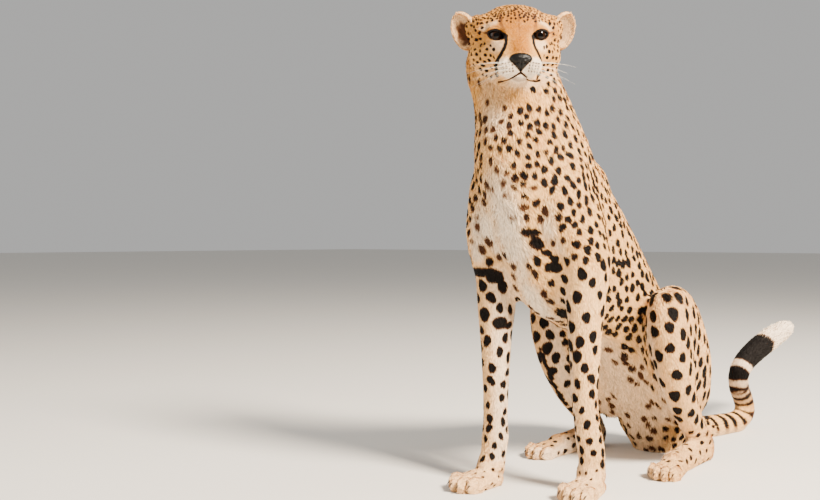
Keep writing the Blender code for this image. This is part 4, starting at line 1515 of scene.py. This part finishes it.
class CHEETAH_OT_coat(bpy.types.Operator):
    """Lay the tufts of the coat over the skin"""

    bl_idname = "cheetah.coat"
    bl_label = "Coat"

    def execute(self, context):
        settings = context.scene.cheetah_coat
        skin = context.scene.cheetah_skin
        area, roots = tuft_roots(settings.tufts, skin)
        place = roots["place"]
        standing = has_hair(place, skin) > 0
        material = fur_material(settings)
        for name, regions in COAT_PIECES:
            here = np.flatnonzero(standing & inside(area, *regions))
            here = here[np.argsort(-place[here, 2], kind="stable")]
            slices = math.ceil(len(here) / MOST_TUFTS)
            for number, part in enumerate(np.array_split(here, slices)):
                label = f"coat_{name}" if slices == 1 else f"coat_{name}_{number + 1}"
                piece = new_object(label, tuft_mesh(label, {key: rows[part] for key, rows in roots.items()}))
                finished(piece, material, "coat")
        return {"FINISHED"}


class CHEETAH_OT_eyes(bpy.types.Operator):
    """Make the eyeballs"""

    bl_idname = "cheetah.eyes"
    bl_label = "Eyes"

    def execute(self, context):
        material = eye_material()
        for name, side in zip(("right", "left"), BOTH):
            obj = eye_object(f"eyeball_{name}", side, context.scene.cheetah_skin)
            finished(obj, material, "eye", f"eye_{name}")
        return {"FINISHED"}


class CHEETAH_OT_nose(bpy.types.Operator):
    """Make the nose leather"""

    bl_idname = "cheetah.nose"
    bl_label = "Nose"

    def execute(self, context):
        # pebbles about a millimetre across
        material = plain_material("nose_leather", "#050404", 0.42, 950.0, 0.0003)
        finished(nose_object(), material, "nose_leather", "nose")
        return {"FINISHED"}


class CHEETAH_OT_whiskers(bpy.types.Operator):
    """Set the whiskers in the muzzle"""

    bl_idname = "cheetah.whiskers"
    bl_label = "Whiskers"

    def execute(self, context):
        cones = whisker_cones(np.random.default_rng(context.scene.cheetah_coat.seed))
        if not cones:
            raise RuntimeError("no whisker found the skin")
        material = plain_material("whisker_keratin", "#E8E0D0", 0.45, 2000.0, 0.00002)
        finished(bent_cones("whiskers", cones, 5, 10), material, "coat")
        return {"FINISHED"}


class CHEETAH_OT_claws(bpy.types.Operator):
    """Set the claws in the toes"""

    bl_idname = "cheetah.claws"
    bl_label = "Claws"

    def execute(self, context):
        cones = claw_cones()
        if len(cones) < 12:
            raise RuntimeError("too few claws found the skin")
        material = plain_material("claw_horn", "#3A2C22", 0.35, 1500.0, 0.00005)
        finished(bent_cones("claws", cones, 12, 8), material, "coat")
        return {"FINISHED"}


def aimed(name, data, place, ahead):
    """A light or camera at a place, looking ahead."""
    obj = new_object(name, data)
    obj.location = place
    obj.rotation_euler = ahead.to_track_quat("-Z", "Y").to_euler()
    return obj


class CHEETAH_OT_stage(bpy.types.Operator):
    """Make the floor, lights and camera"""

    bl_idname = "cheetah.stage"
    bl_label = "Stage"

    def execute(self, context):
        settings = context.scene.cheetah_stage
        bm = bmesh.new()
        bmesh.ops.create_grid(bm, x_segments=1, y_segments=1, size=FLOOR_REACH)
        floor = new_object("floor", mesh_from(bm, "floor"))
        material, _, _ = new_material("studio_floor", Base_Color=linear("#DEDAD3"), Roughness=0.9)
        floor.data.materials.append(material)
        world = bpy.data.worlds.new("studio")
        context.scene.world = world
        world.use_nodes = True
        back = world.node_tree.nodes["Background"]
        back.inputs["Color"].default_value = linear("#F3F2F0")
        back.inputs["Strength"].default_value = 0.55
        for name, place, size, power, colour in LIGHTS:
            light = bpy.data.lights.new(name, "AREA")
            light.energy = power
            light.size = size
            light.color = linear(colour)[:3]
            aimed(name, light, place, LIT_PLACE - Vector(place))
        lens = bpy.data.cameras.new("camera")
        lens.lens = settings.lens
        lens.sensor_width = 36.0
        level = math.cos(CAMERA_PITCH)
        ahead = (-math.sin(CAMERA_HEADING) * level, math.cos(CAMERA_HEADING) * level, math.sin(CAMERA_PITCH))
        place = (*CAMERA_AT, settings.camera_height)
        context.scene.camera = aimed("camera", lens, place, Vector(ahead))
        return {"FINISHED"}


class CHEETAH_PT_panel(bpy.types.Panel):
    """Buttons for each part of the cheetah"""

    bl_label = "Cheetah"
    bl_idname = "CHEETAH_PT_panel"
    bl_space_type = "VIEW_3D"
    bl_region_type = "UI"
    bl_category = "Cheetah"

    def draw(self, context):
        for group in (context.scene.cheetah_skin, context.scene.cheetah_coat, context.scene.cheetah_stage):
            for name in group.__annotations__:
                self.layout.prop(group, name)
        for operator in OPERATORS:
            self.layout.operator(operator.bl_idname)


SETTINGS = (
    ("cheetah_skin", CheetahSkinSettings),
    ("cheetah_coat", CheetahCoatSettings),
    ("cheetah_stage", CheetahStageSettings),
)
OPERATORS = (
    CHEETAH_OT_skin,
    CHEETAH_OT_coat,
    CHEETAH_OT_eyes,
    CHEETAH_OT_nose,
    CHEETAH_OT_whiskers,
    CHEETAH_OT_claws,
    CHEETAH_OT_stage,
)
hide = {}  # what the coat is laid by: the skin's shape, regions, markings and lie of the coat


def register():
    for name, group in SETTINGS:
        bpy.utils.register_class(group)
        setattr(bpy.types.Scene, name, PointerProperty(type=group))
    for operator in OPERATORS:
        bpy.utils.register_class(operator)
    bpy.utils.register_class(CHEETAH_PT_panel)


def unregister():
    bpy.utils.unregister_class(CHEETAH_PT_panel)
    for operator in reversed(OPERATORS):
        bpy.utils.unregister_class(operator)
    for name, group in reversed(SETTINGS):
        delattr(bpy.types.Scene, name)
        bpy.utils.unregister_class(group)


def main():
    register()
    bpy.ops.cheetah.skin()
    bpy.ops.cheetah.coat()
    bpy.ops.cheetah.eyes()
    bpy.ops.cheetah.nose()
    bpy.ops.cheetah.whiskers()
    bpy.ops.cheetah.claws()
    bpy.ops.cheetah.stage()


if __name__ == "__main__":
    main()
